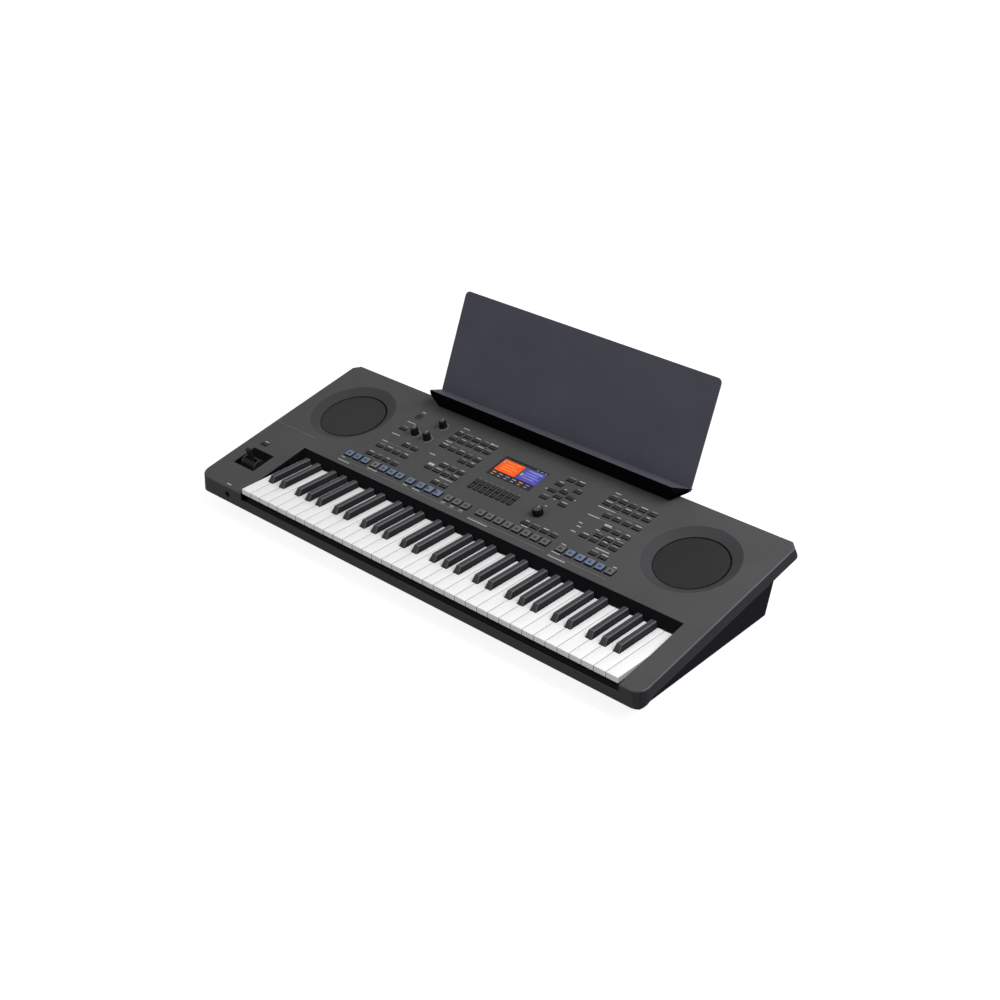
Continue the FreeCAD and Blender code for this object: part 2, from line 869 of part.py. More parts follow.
def make_upper_case():
    shell = soft_top_edges(common(prism(case_outline(), "0", "width"), rounded_plan("0")))
    hollow = common(prism(case_hollow(), "0", "width"), rounded_plan("wall"))
    shell = cut(cut(shell, [hollow]), [well_cut()])
    adds = funnel_adds()
    for x, y in end_screws() + back_screws():
        adds.append(post(x, y, "wall - rim_height", "boss_width", "rim_height - wall - wall / 2"))
    for x, y in standoff_places():
        adds.append(post(x, y, BOARD_TOP, "standoff_width", "board_drop - wall / 2"))
    shell = fuse([shell, in_panel_frame(fuse(adds)), well_skirt()] + well_sides())
    cuts = [
        box(
            ("display_left", "display_front", "-wall - cut_overrun"),
            ("display_width", "display_height", "wall + 2 * cut_overrun")),
        box(
            ("stick_left", "stick_front", "-wall - cut_overrun"),
            ("stick_width", "stick_length", "wall + 2 * cut_overrun")),
        cylinder(
            ("standby_x", "standby_y", "-wall - cut_overrun"),
            "standby_radius + button_gap", "wall + 2 * cut_overrun"),
    ]
    for places in BUTTON_GROUPS.values():
        cuts += [button_hole(*spot) for spot in places]
    for _, x, y in KNOBS.values():
        cuts.append(cylinder(
            (x, y, "-wall - cut_overrun"), "shaft_radius + shaft_clear", "wall + 2 * cut_overrun"))
    for x, y in end_screws() + back_screws():
        cuts.append(cylinder(
            (x, y, "wall - rim_height - cut_overrun"), "screw_radius + screw_gap", "screw_length + cut_overrun"))
    for x in TABS:
        cuts.append(box(
            (f"{x} - rest_seat_gap", "tab_y - rest_seat_gap", "-wall - cut_overrun"),
            ("tab_width + 2 * rest_seat_gap", "tab_thickness + 2 * rest_seat_gap", "wall + 2 * cut_overrun")))
    shell = cut(cut(shell, [in_panel_frame(group(cuts))]), [in_panel_frame(group(funnel_cuts()))])
    phones = cylinder(
        ("phones_x", "-cut_overrun", PHONES_Z), "phones_bush + socket_gap", "wall + 2 * cut_overrun", ALONG_Y)
    case_node("upper_case", cut(shell, [phones]))


# Lower case: a tub with drafted walls, whose flange closes the rim from below at the ends and the front.
# A strip closes it behind the tub.

TUB_LEAN = "tan(tub_draft)"


def tub_block(inset, floor, top, front, front_top):
    """A drafted block: bottom rectangle set in from the case, walls leaning outwards."""
    side = [
        (front, floor),
        (f"depth - tub_inset - {inset}", floor),
        (f"depth - tub_inset - {inset} + ({top} - {floor}) * {TUB_LEAN}", top),
        (front_top, top),
        (front_top, f"{FASCIA_FOOT} + {inset}"),
    ]
    faces = []
    for margin, y in (("tub_side_front", "0"), ("tub_side_back", "depth")):
        lean = f"({top} - {floor}) * {TUB_LEAN}"
        points = [
            (f"{margin} + {inset}", floor),
            (f"width - {margin} - {inset}", floor),
            (f"width - {margin} - {inset} + {lean}", top),
            (f"{margin} + {inset} - {lean}", top),
        ]
        faces.append(outline(points, FRONT_VIEW, y))
    return common(prism(side, "0", "width"), between(faces[0], faces[1]))


def rim_line(y, lift):
    """A point on the rim's lower line, or a distance above it."""
    return (y, f"front_height + ({y}) * {SLOPE} - {RIM_DROP} + {lift} / cos(panel_tilt)")


def back_wall(lift):
    """How far back the tub's leaning back wall meets the rim's lower line, or a distance above it."""
    start = f"(front_height - {RIM_DROP} + {lift} / cos(panel_tilt) - foot_height)"
    return f"((depth - tub_inset + {start} * {TUB_LEAN}) / (1 - {SLOPE} * {TUB_LEAN}))"


def flange_outline(lift):
    """The rim's lower line from the fascia to the tub's back wall, or a distance above it."""
    return [
        ("wall + case_gap", f"{FASCIA_FOOT} + {lift}"),
        ("fascia_foot", f"{FASCIA_FOOT} + {lift}"),
        rim_line("ramp_reach", lift),
        rim_line(back_wall(lift), lift),
    ]


def under_flange():
    """All the room below the flange's upper face, to trim the tub's walls."""
    top = flange_outline("wall")
    return [(top[0][0], "0"), (top[3][0], "0")] + top[::-1]


def frame_posts():
    """Posts on the tub's floor that carry the key frame."""
    posts = []
    for share in FRAME_POST_SHARES:
        x = f"(first_key + {share} * {KEYS_WIDTH} - frame_post / 2)"
        for y in ("felt_front + felt_width", f"{PIVOT_Y} - 2 * frame_post"):
            posts.append(box(
                (x, y, TUB_FLOOR), ("frame_post", "frame_post", f"key_top - frame_drop - {TUB_FLOOR}")))
    return posts


def board_posts():
    posts = []
    for x in ("main_left", "main_left + main_width - main_post"):
        for y in ("main_front", "main_front + main_depth - main_post"):
            posts.append(box((x, y, TUB_FLOOR), ("main_post", "main_post", "main_rise")))
    return posts


def plate_frame(item):
    """Lay a piece that was made flat and upright on the leaning back wall of the tub."""
    item.Placement = FreeCAD.Placement(FreeCAD.Vector(), FreeCAD.Rotation(-X_AXIS, sheet.tub_draft))
    bind(item, {
        "Placement.Base.x": "plate_left",
        "Placement.Base.y": f"depth - tub_inset + (plate_rise - foot_height) * {TUB_LEAN}",
        "Placement.Base.z": "plate_rise",
        "Placement.Rotation.Angle": "tub_draft",
    })
    return item


def screw_holes(places):
    """Through holes in the flange, with room for the screw heads."""
    holes = []
    for x, y in places:
        low = (x, y, "-rim_height - cut_overrun")
        holes.append(cylinder(low, "screw_radius + screw_gap", "wall + 2 * cut_overrun"))
        holes.append(cylinder(low, "screw_head_radius + screw_gap", "screw_head_height + cut_overrun"))
    return in_panel_frame(fuse(holes))


def make_lower_case():
    tub = tub_block("0", "foot_height", REAR_RIM_Z, "tub_front", "tub_shoulder")
    flange = prism(flange_outline("0") + flange_outline("wall")[::-1], "0", "width")
    flange = common(flange, rounded_plan("wall + case_gap"))
    tub = common(tub, prism(under_flange(), "0", "width"))
    room = tub_block("wall", TUB_FLOOR, f"{REAR_RIM_Z} + cut_overrun", "tub_front + wall", "tub_shoulder + wall")
    shell = cut(fuse([tub, flange]), [room])
    shell = fuse([shell] + frame_posts() + board_posts())
    window = box(("0", "-wall - cut_overrun", "0"), ("plate_width", "wall + 2 * cut_overrun", "plate_height"))
    shell = cut(cut(shell, [plate_frame(group([window]))]), [screw_holes(end_screws())])
    case_node("lower_case", shell)


def make_back_strip():
    rear = "(depth - wall - case_gap)"
    points = [
        rim_line(f"({back_wall('0')} + case_gap)", "0"),
        rim_line(rear, "0"),
        rim_line(rear, "wall"),
        rim_line(f"({back_wall('wall')} + case_gap)", "wall"),
    ]
    strip = common(prism(points, "0", "width"), rounded_plan("wall + case_gap"))
    case_node("back_strip", cut(strip, [screw_holes(back_screws())]))


def make_fasteners():
    screws = []
    for x, y in end_screws() + back_screws():
        low = (x, y, "-rim_height")
        head = many_sided(low, SCREW_SIDES, "screw_head_radius", "screw_head_height")
        shank = many_sided(low, SCREW_SIDES, "screw_radius", "screw_length")
        screws.append(fuse([head, shank]))
    panel_node("case_screws", group(screws))
    feet = []
    places = [("width / 2", "depth / 2")]
    for x in ("tub_inset + foot_margin", "width - tub_inset - foot_margin"):
        for y in ("tub_front + foot_margin", "depth - tub_inset - foot_margin"):
            places.append((x, y))
    for x, y in places:
        feet.append(tapered((x, y, "0"), "foot_tip_radius", "foot_radius", "foot_height"))
    case_node("rubber_feet", group(feet))


# Sockets: the phones socket in the front fascia and the row of sockets on the back wall.

PHONES_Z = f"({FASCIA_FOOT} + phones_rise)"


def socket(x, z, bore):
    """A round socket, closed at its inner end."""
    shell = cylinder((x, "-socket_length", z), "socket_radius", "socket_length + socket_proud", ALONG_Y)
    way = cylinder((x, "wall - socket_length", z), bore, "socket_length", ALONG_Y)
    return cut(shell, [way])


def socket_hole(x, z):
    return cylinder(
        (x, "-plate_thickness - cut_overrun", z), "socket_radius + socket_gap",
        "plate_thickness + 2 * cut_overrun", ALONG_Y)


def make_sockets():
    bush = cylinder(
        ("phones_x", "phones_recess", PHONES_Z), "phones_bush", "wall - phones_recess + 2 * socket_gap", ALONG_Y)
    body = box(
        ("phones_x - phones_body / 2", "wall + socket_gap", f"{PHONES_Z} - phones_body / 2"),
        ("phones_body", "socket_length - wall - socket_gap", "phones_body"))
    bore = cylinder(("phones_x", "-cut_overrun", PHONES_Z), "phones_radius", "socket_length", ALONG_Y)
    case_node("phones_socket", cut(fuse([bush, body]), [bore]))
    middle = "plate_height / 2"
    plates = []
    for left, right in (("0", "plate_split"), ("plate_split", "plate_width")):
        plates.append(box(
            (f"{left} + plate_gap", "-plate_thickness", "plate_gap"),
            (f"{right} - {left} - 2 * plate_gap", "plate_thickness", "plate_height - 2 * plate_gap")))
    holes = []
    jacks = []
    for number in range(int(sheet.jack_count)):
        x = f"(plate_margin + {number} * jack_pitch)"
        holes.append(socket_hole(x, middle))
        jacks.append(socket(x, middle, "phones_radius"))
    holes.append(socket_hole("inlet_x", middle))
    port = box(
        ("usb_x - socket_gap", "-plate_thickness - cut_overrun", f"{middle} - usb_height / 2 - socket_gap"),
        ("usb_width + 2 * socket_gap", "plate_thickness + 2 * cut_overrun", "usb_height + 2 * socket_gap"))
    back_node("jack_plate", group([cut(plates[0], holes), cut(plates[1], [port])]))
    back_node("rear_jacks", group(jacks))
    back_node("power_inlet", socket("inlet_x", middle, "inlet_radius"))
    usb = box(
        ("usb_x", "-usb_length", f"{middle} - usb_height / 2"),
        ("usb_width", "usb_length + socket_proud / 2", "usb_height"))
    way = box(
        ("usb_x + usb_wall", "usb_back - usb_length", f"{middle} - usb_height / 2 + usb_wall"),
        ("usb_width - 2 * usb_wall", "usb_length", "usb_height - 2 * usb_wall"))
    back_node("usb_socket", cut(usb, [way]))


def back_node(label, item):
    """Name a finished sub-part that was made upright for the leaning back wall."""
    plate_frame(item)
    bind(item, {
        "Placement.Base.x": "plate_left - width / 2",
        "Placement.Base.y": f"depth / 2 - tub_inset + (plate_rise - foot_height) * {TUB_LEAN}",
    })
    item.Label = label
    NODES.append(item)


# Keys: every key is a hollow moulding that rocks on one rail behind the panel's front edge.

def black_centre(number, name):
    octave = number // len(WHITE_NAMES)
    share = octave * len(WHITE_NAMES) + BLACK_PLACE_SHARES[name]
    return f"(first_key + {share} * key_pitch)"


def tail(x_low, x_high, start):
    """The hidden stretch of a key, with the block that sits over the rail."""
    strip = box(
        (x_low, start, KEY_FOOT), (f"{x_high} - ({x_low})", f"{PIVOT_Y} - ({start})", "key_lip - tail_drop"))
    seat = box(
        (x_low, f"{PIVOT_Y} - pivot_block / 2", "key_top - pivot_block_foot"),
        (f"{x_high} - ({x_low})", "pivot_block", "pivot_block_foot - tail_drop"))
    return [strip, seat]


def rail_notch(x_low, x_high):
    half = "(rail_radius + rail_gap)"
    return box(
        (f"{x_low} - cut_overrun", f"{PIVOT_Y} - {half}", "key_top - pivot_block_foot - cut_overrun"),
        (f"{x_high} - ({x_low}) + 2 * cut_overrun", f"2 * {half}",
         f"pivot_block_foot - pivot_drop + cut_overrun + {half}"))


def white_key(number):
    name = WHITE_NAMES[number % len(WHITE_NAMES)]
    left = f"(first_key + {number} * key_pitch + key_gap / 2)"
    right = f"(first_key + {number + 1} * key_pitch - key_gap / 2)"
    neck_left, neck_right = left, right
    if name in BLACK_BEFORE:
        neck_left = f"({black_centre(number, BLACK_BEFORE[name])} + black_width / 2 + notch_gap)"
    if name in BLACK_AFTER and number + 1 < WHITE_COUNT:
        neck_right = f"({black_centre(number, BLACK_AFTER[name])} - black_width / 2 - notch_gap)"
    head_length = "(black_start - notch_gap)"
    head = box((left, "key_front", KEY_FOOT), (f"{right} - {left}", head_length, "key_lip"))
    neck = box(
        (neck_left, "key_front", KEY_FOOT), (f"{neck_right} - {neck_left}", "white_length", "key_lip"))
    hollow_height = "key_lip - key_skin + cut_overrun"
    under_head = box(
        (f"{left} + key_side", "key_front + key_skin", f"{KEY_FOOT} - cut_overrun"),
        (f"{right} - {left} - 2 * key_side", f"{head_length} - key_skin - key_side", hollow_height))
    under_neck = box(
        (f"{neck_left} + key_side", "key_front + key_skin", f"{KEY_FOOT} - cut_overrun"),
        (f"{neck_right} - {neck_left} - 2 * key_side", "white_length - key_skin - key_side", hollow_height))
    solid = fuse([head, neck] + tail(neck_left, neck_right, "key_front + white_length"))
    return cut(cut(solid, [under_head]), [under_neck, rail_notch(neck_left, neck_right)])


def black_key(number, name):
    centre = black_centre(number, name)
    low = (f"{centre} - black_width / 2", f"{centre} + black_width / 2")
    high = (f"{centre} - black_top_width / 2", f"{centre} + black_top_width / 2")
    front = "(key_front + black_start)"
    back = "(key_front + white_length - black_setback)"
    shoulder = "(key_top + black_rise - black_bevel)"
    foot = box((low[0], front, KEY_FOOT), ("black_width", f"{back} - {front}", "key_lip"))
    body = frustum("key_top", shoulder, low, (front, back), high, (f"{front} + black_slope", back))
    crown = frustum(
        shoulder, f"{shoulder} + black_bevel", high, (f"{front} + black_slope", back),
        (f"{high[0]} + black_bevel", f"{high[1]} - black_bevel"),
        (f"{front} + black_slope + black_bevel", back))
    solid = fuse([foot, body, crown] + tail(low[0], low[1], back))
    return cut(solid, [rail_notch(low[0], low[1])])


def make_keys():
    keys = {}
    for number in range(WHITE_COUNT):
        name = WHITE_NAMES[number % len(WHITE_NAMES)]
        keys.setdefault(name, []).append(white_key(number))
        if name in BLACK_AFTER and number + 1 < WHITE_COUNT:
            black = BLACK_AFTER[name]
            keys.setdefault(black, []).append(black_key(number, black))
    for name, items in keys.items():
        case_node(f"keys_{name}", group(items))


# Key frame: a plate with the rail that the keys rock on, stop felt and contacts.

def make_key_frame():
    left = "(first_key - frame_side)"
    span = f"({KEYS_WIDTH} + 2 * frame_side)"
    plate = box(
        (left, "frame_front", "key_top - frame_drop"),
        (span, f"{PIVOT_Y} + frame_back - frame_front", "frame_thickness"))
    riser = box(
        (left, f"{PIVOT_Y} - riser_thickness / 2", "key_top - frame_drop"),
        (span, "riser_thickness", f"{PIVOT_Z} - key_top + frame_drop"))
    rail = cylinder((left, PIVOT_Y, PIVOT_Z), "rail_radius", span, ALONG_X)
    stop_top = f"({KEY_FOOT} - (pivot_reach - felt_front) * tan(key_travel) - felt_gap)"
    step = box(
        (left, "key_front + felt_front", FRAME_TOP),
        (span, "felt_width", f"{stop_top} - felt_thickness - {FRAME_TOP}"))
    case_node("key_frame", fuse([plate, riser, rail, step]))
    felt = box(
        (left, "key_front + felt_front", f"{stop_top} - felt_thickness"), (span, "felt_width", "felt_thickness"))
    case_node("key_stop_felt", group([felt]))
    board = box(
        (left, "key_front + contact_front", FRAME_TOP), (span, "contact_width", "contact_board"))
    case_node("key_contact_board", group([board]))
    strip = box(
        (left, "key_front + contact_front + (contact_width - contact_strip_width) / 2",
         f"{FRAME_TOP} + contact_board"),
        (span, "contact_strip_width", "contact_strip_height"))
    case_node("key_contact_strip", group([strip]))


# Speakers: a grille on the ledge of each funnel, a basket with its magnet, and a cone.

def grille(x):
    return cylinder((x, "speaker_rise", "-funnel_depth"), "grille_radius - grille_gap", "grille_thickness")


MOUTH = "(grille_radius - ledge_width)"


def basket(x):
    """A square flange under the funnel's ledge, a bowl and a magnet."""
    ring_low = "(-funnel_depth - funnel_wall - basket_ring_thickness)"
    bowl_low = f"({ring_low} - basket_depth)"
    flange = post(x, "speaker_rise", ring_low, f"(2 * ({MOUTH} + basket_ring))", "basket_ring_thickness")
    bowl = tapered(
        (x, "speaker_rise", bowl_low), "basket_foot_radius + basket_wall", f"{MOUTH} + basket_wall", "basket_depth")
    magnet = many_sided(
        (x, "speaker_rise", f"{bowl_low} - magnet_height"), ROUND_SIDES, "magnet_radius", "magnet_height")
    inside = tapered((x, "speaker_rise", bowl_low), "basket_foot_radius", MOUTH, "basket_depth")
    throat = many_sided((x, "speaker_rise", ring_low), ROUND_SIDES, MOUTH, "basket_ring_thickness + cut_overrun")
    return cut(fuse([flange, bowl, magnet]), [fuse([inside, throat])])


def speaker_cone(x):
    low = "(-funnel_depth - funnel_wall - cone_edge_gap - cone_depth)"
    edge = f"({MOUTH} - case_gap)"
    outer = tapered((x, "speaker_rise", low), "cone_throat_radius", edge, "cone_depth")
    inner = tapered((x, "speaker_rise", f"{low} + cone_wall"), "cone_throat_radius", edge, "cone_depth")
    return cut(outer, [inner])


def make_speakers():
    panel_node("speaker_grille_left", group([grille("speaker_left")]))
    panel_node("speaker_grille_right", group([grille("speaker_right")]))
    panel_node("speaker_baskets", group([basket(x) for x in SPEAKERS]))
    panel_node("speaker_cones", group([speaker_cone(x) for x in SPEAKERS]))


# Display and the boards under the panel.

def make_display():
    lens = box(
        ("display_left + lens_gap", "display_front + lens_gap", "-wall"),
        ("display_width - 2 * lens_gap", "display_height - 2 * lens_gap", "wall - lens_recess"))
    panel_node("display_window", group([lens]))
    module = box(
        ("display_left - display_margin", "display_front - display_margin", "-wall - module_thickness"),
        ("display_width + 2 * display_margin", "display_height + 2 * display_margin", "module_thickness"))
    panel_node("display_module", group([module]))


def make_boards():
    main = box(
        ("board_left", "board_front", f"{BOARD_TOP} - board_thickness"),
        ("board_right - board_left", "board_back - board_front", "board_thickness"))
    cheek = box(
        ("hold_x - cheek_board_width / 2", "hold_y - cheek_board_depth / 2", f"{BOARD_TOP} - board_thickness"),
        ("cheek_board_width", "cheek_board_depth", "board_thickness"))
    panel_node("panel_boards", group([fuse([main] + knob_controls()), cheek]))
    mat = box(
        ("board_left + mat_margin", "board_front + mat_margin", BOARD_TOP),
        ("board_right - board_left - 2 * mat_margin", "board_back - board_front - 2 * mat_margin",
         "mat_thickness"))
    cheek_mat = box(
        ("hold_x - cheek_board_width / 2 + mat_margin", "hold_y - cheek_board_depth / 2", BOARD_TOP),
        ("cheek_board_width - 2 * mat_margin", "cheek_board_depth", "mat_thickness"))
    holes = []
    for _, x, y in KNOBS.values():
        holes.append(post(x, y, f"{BOARD_TOP} - cut_overrun", "(pot_size + 2 * case_gap)", "2 * cut_overrun"))
    panel_node("switch_mats", group([cut(mat, holes), cheek_mat]))
    plate = box(
        ("main_left", "main_front", f"{TUB_FLOOR} + main_rise"), ("main_width", "main_depth", "board_thickness"))
    top = f"{TUB_FLOOR} + main_rise + board_thickness"
    chip = box(("main_left + main_width / 2", "chip_front", top), ("chip_size", "chip_size", "chip_height"))
    sink = box(("main_left + main_post", "chip_front", top), ("sink_width", "sink_depth", "sink_height"))
    case_node("main_board", fuse([plate, chip, sink]))


# Joystick: a drum that rocks to and fro in a recessed tray, and a lever that rocks sideways in it.

STICK_X = "(stick_left + stick_width / 2)"
DRUM_Z = "(-drum_drop)"


def make_joystick():
    left = "(stick_left + stick_gap)"
    front = "(stick_front + stick_gap)"
    span = "(stick_width - 2 * stick_gap)"
    reach = "(stick_length - 2 * stick_gap)"
    shell = box((left, front, "-stick_depth"), (span, reach, "stick_depth"))
    room = box(
        (f"{left} + stick_wall", f"{front} + stick_wall", "stick_wall - stick_depth"),
        (f"{span} - 2 * stick_wall", f"{reach} - 2 * stick_wall", "stick_depth"))
    back = f"({front} + {reach} - stick_wall / 2)"
    ramp = prism(
        [(back, "-stick_depth + stick_wall / 2"), (back, "0"),
         (f"{back} - stick_ramp_reach", "-stick_ramp_drop"),
         (f"{back} - stick_ramp_reach", "-stick_depth + stick_wall / 2")],
        f"{left} + stick_wall / 2", f"{span} - stick_wall")
    bearings = []
    for x in (f"{left} + stick_wall / 2", f"{left} + {span} - stick_wall / 2 - bearing_width"):
        bearings.append(box(
            (x, "drum_y - bearing_length / 2", "stick_wall / 2 - stick_depth"),
            ("bearing_width", "bearing_length", "stick_depth - drum_drop + bearing_length / 2")))
    bore = cylinder(
        (f"{left} + stick_wall", "drum_y", DRUM_Z), "axle_radius + shaft_gap",
        f"{span} - 2 * stick_wall", ALONG_X)
    sweep = cylinder(
        (f"{STICK_X} - drum_width / 2 - drum_gap", "drum_y", DRUM_Z), "drum_radius + drum_gap",
        "drum_width + 2 * drum_gap", ALONG_X)
    tray = cut(cut(fuse([cut(shell, [room]), ramp] + bearings), [bore]), [sweep])
    panel_node("joystick_tray", tray)
    barrel = cylinder(
        (f"{STICK_X} - drum_width / 2", "drum_y", DRUM_Z), "drum_radius", "drum_width", ALONG_X)
    axle = cylinder(
        (f"{left} + stick_wall + case_gap", "drum_y", DRUM_Z), "axle_radius",
        f"{span} - 2 * stick_wall - 2 * case_gap", ALONG_X)
    slot = box(
        (f"{STICK_X} - lever_slot_length / 2", "drum_y - lever_slot_width / 2",
         f"{DRUM_Z} + drum_radius - lever_slot_depth"),
        ("lever_slot_length", "lever_slot_width", "lever_slot_depth + cut_overrun"))
    pin = cylinder(
        (STICK_X, "drum_y - lever_slot_width", DRUM_Z), "lever_pin_radius", "2 * lever_slot_width", ALONG_Y)
    panel_node("joystick_drum", fuse([cut(fuse([barrel, axle]), [slot]), pin]))
    post = box(
        (f"{STICK_X} - lever_width / 2", "drum_y - lever_thickness / 2", DRUM_Z),
        ("lever_width", "lever_thickness", "lever_height"))
    foot = cylinder(
        (STICK_X, "drum_y - lever_thickness / 2", DRUM_Z), "lever_foot", "lever_thickness", ALONG_Y)
    grip_low = f"({DRUM_Z} + lever_height - lever_top_height)"
    grip = frustum(
        grip_low, f"{grip_low} + lever_top_height",
        (f"{STICK_X} - lever_width / 2", f"{STICK_X} + lever_width / 2"),
        ("drum_y - lever_thickness / 2", "drum_y + lever_thickness / 2"),
        (f"{STICK_X} - lever_top_width / 2", f"{STICK_X} + lever_top_width / 2"),
        ("drum_y - lever_thickness / 2", "drum_y + lever_thickness / 2"))
    hole = cylinder(
        (STICK_X, "drum_y - lever_slot_width", DRUM_Z), "lever_pin_radius + lever_pin_gap",
        "2 * lever_slot_width", ALONG_Y)
    panel_node("joystick_lever", cut(fuse([post, foot, grip]), [hole]))


# Music rest: a board that stands in the groove of a ledge, whose tabs drop into slots of the panel.

REST_LEFT = "(width / 2 - rest_width / 2)"
TABS = (f"({REST_LEFT} + tab_inset)", f"({REST_LEFT} + rest_width - tab_inset - tab_width)")
LEDGE_BACK_Y = "(rest_front + rest_ledge * sin(rest_lean))"


def leaning(along, up):
    """A point of the rest's section: how far along the ledge from its front, and how far up the board."""
    return (
        f"(rest_front + ({along}) * sin(rest_lean) + ({up}) * cos(rest_lean))",
        f"(rest_front_rise - ({along}) * cos(rest_lean) + ({up}) * sin(rest_lean))")


def ledge_ends():
    """The ledge seen square to its top: shorter at the front edge and below."""
    right = f"({REST_LEFT} + rest_width)"
    reach = "(rest_ledge + rest_width)"
    taper = prism(
        [(f"{REST_LEFT} + rest_taper", "0"), (f"{right} - rest_taper", "0"), (right, "rest_ledge"),
         (right, reach), (REST_LEFT, reach), (REST_LEFT, "rest_ledge")],
        "-rest_width", "2 * rest_width", PLAN_VIEW)
    sides = (f"-{reach}", reach)
    undercut = frustum(
        "-rest_front_rise", "0", (f"({REST_LEFT} + rest_undercut)", f"({right} - rest_undercut)"), sides,
        (REST_LEFT, right), sides)
    item = common(taper, undercut)
    item.Placement = FreeCAD.Placement(FreeCAD.Vector(), FreeCAD.Rotation(X_AXIS, sheet.rest_lean))
    bind(item, {
        "Placement.Base.y": "rest_front",
        "Placement.Base.z": "rest_front_rise",
        "Placement.Rotation.Angle": "rest_lean - 90",
    })
    return item


def make_music_rest():
    points = [
        ("rest_front + rest_foot_setback", "0"),
        ("rest_front", "rest_front_rise - rest_lip"),
        ("rest_front", "rest_front_rise"),
        leaning("rest_ledge + rest_back", "0"),
        leaning("rest_ledge + rest_back", "-rest_back_drop"),
        (LEDGE_BACK_Y, "0"),
    ]
    ledge = common(prism(points, REST_LEFT, "rest_width"), ledge_ends())
    roof = "(rest_wall / sin(rest_lean))"
    room_end = "(tab_y + tab_thickness + rest_seat_gap)"
    room = prism(
        [("rest_front + rest_foot_setback + rest_wall", "-cut_overrun"),
         ("rest_front + rest_foot_setback + rest_wall",
          f"rest_front_rise - (rest_foot_setback + rest_wall) / tan(rest_lean) - {roof}"),
         (room_end, f"rest_front_rise - ({room_end} - rest_front) / tan(rest_lean) - {roof}"),
         (room_end, "-cut_overrun")],
        f"{REST_LEFT} + rest_undercut + rest_wall", "rest_width - 2 * (rest_undercut + rest_wall)")
    groove = prism(
        [leaning("rest_ledge - rest_board_gap", "-rest_groove"),
         leaning("rest_ledge - rest_board_gap", "cut_overrun"),
         leaning("rest_ledge + rest_thickness + rest_board_gap", "cut_overrun"),
         leaning("rest_ledge + rest_thickness + rest_board_gap", "-rest_groove")],
        f"{REST_LEFT} - cut_overrun", "rest_width + 2 * cut_overrun")
    tab_top = f"(rest_front_rise - (tab_y + tab_thickness - rest_front) / tan(rest_lean) - {roof} / 2)"
    tabs = [
        box((x, "tab_y", "-tab_length"), ("tab_width", "tab_thickness", f"tab_length + {tab_top}"))
        for x in TABS]
    panel_node("music_rest_ledge", fuse([cut(ledge, [room, groove])] + tabs))
    board = prism(
        [leaning("rest_ledge", "-rest_groove"),
         leaning("rest_ledge", "rest_height"),
         leaning("rest_ledge + rest_thickness", "rest_height"),
         leaning("rest_ledge + rest_thickness", "-rest_groove")],
        REST_LEFT, "rest_width")
    doc.recompute()
    rounded = doc.addObject("Part::Fillet", "board_corners")
    rounded.Base = board
    radius = sheet_value("rest_corner_radius")
    thickness = sheet_value("rest_thickness")
    middle = board.Shape.BoundBox.Center.z
    corners = []
    for number, edge in enumerate(board.Shape.Edges, start=1):
        if edge.Length < 2 * thickness and edge.BoundBox.ZMin > middle:
            corners.append((number, radius, radius))
    rounded.Edges = corners
    panel_node("music_rest_board", rounded)


make_upper_case()
make_lower_case()
make_back_strip()
make_fasteners()
make_sockets()
make_key_frame()
make_keys()
make_buttons()
make_knobs()
make_speakers()
make_display()
make_boards()
make_joystick()
make_music_rest()
doc.recompute()

for item in doc.Objects:
    if "Invalid" in item.State or "Error" in item.State:
        raise RuntimeError(f"{item.Label} failed: {item.State}")
os.makedirs("parts", exist_ok=True)
for item in NODES:
    if item.Shape.isNull() or not item.Shape.isValid():
        raise RuntimeError(f"{item.Label} has no valid shape")
    item.Shape.exportStep(f"parts/{item.Label}.step")
print(len(NODES), "nodes")
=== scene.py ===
import math

import bmesh
import bpy
from mathutils import Matrix, Vector


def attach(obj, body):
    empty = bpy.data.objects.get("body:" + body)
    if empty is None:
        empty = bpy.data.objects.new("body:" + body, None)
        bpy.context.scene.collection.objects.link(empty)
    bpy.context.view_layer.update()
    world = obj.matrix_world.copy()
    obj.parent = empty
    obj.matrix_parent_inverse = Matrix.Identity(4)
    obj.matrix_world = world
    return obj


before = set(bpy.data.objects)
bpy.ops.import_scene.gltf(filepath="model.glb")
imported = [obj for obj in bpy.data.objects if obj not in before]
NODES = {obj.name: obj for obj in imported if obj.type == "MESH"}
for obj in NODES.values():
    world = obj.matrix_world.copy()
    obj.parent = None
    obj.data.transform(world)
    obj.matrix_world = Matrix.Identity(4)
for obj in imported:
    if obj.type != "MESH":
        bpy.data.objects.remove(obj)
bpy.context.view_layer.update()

# Sizes and places are in millimetres, in the frame of the sloping panel, where no comment says otherwise.
MM = 0.001

# Case sizes, as in the solids.
WIDTH = 1004
DEPTH = 388
FRONT_HEIGHT = 64
PANEL_TILT = math.radians(10.55)
WELL_LEFT = 115.5
WELL_RIGHT = 962.52
WELL_BACK = 154

PANEL = (
    Matrix.Translation(Vector((-WIDTH / 2, -DEPTH / 2, FRONT_HEIGHT)) * MM)
    @ Matrix.Rotation(PANEL_TILT, 4, "X")
    @ Matrix.Scale(MM, 4)
)
TO_PANEL = PANEL.inverted()
PANEL_TURN = PANEL.to_3x3().normalized().inverted()

# Materials

PLAIN_WHITE = (1, 1, 1, 1)


def socket_value(shader, name, value):
    shader.inputs[name].default_value = value


def blank(name):
    material = bpy.data.materials.new(name)
    material.use_nodes = True
    nodes = material.node_tree.nodes
    return material, nodes, material.node_tree.links, nodes["Principled BSDF"]


def add_noise(nodes, links, scale, detail):
    place = nodes.new("ShaderNodeTexCoord")
    noise = nodes.new("ShaderNodeTexNoise")
    socket_value(noise, "Scale", scale)
    socket_value(noise, "Detail", detail)
    links.new(place.outputs["Object"], noise.inputs["Vector"])
    return noise


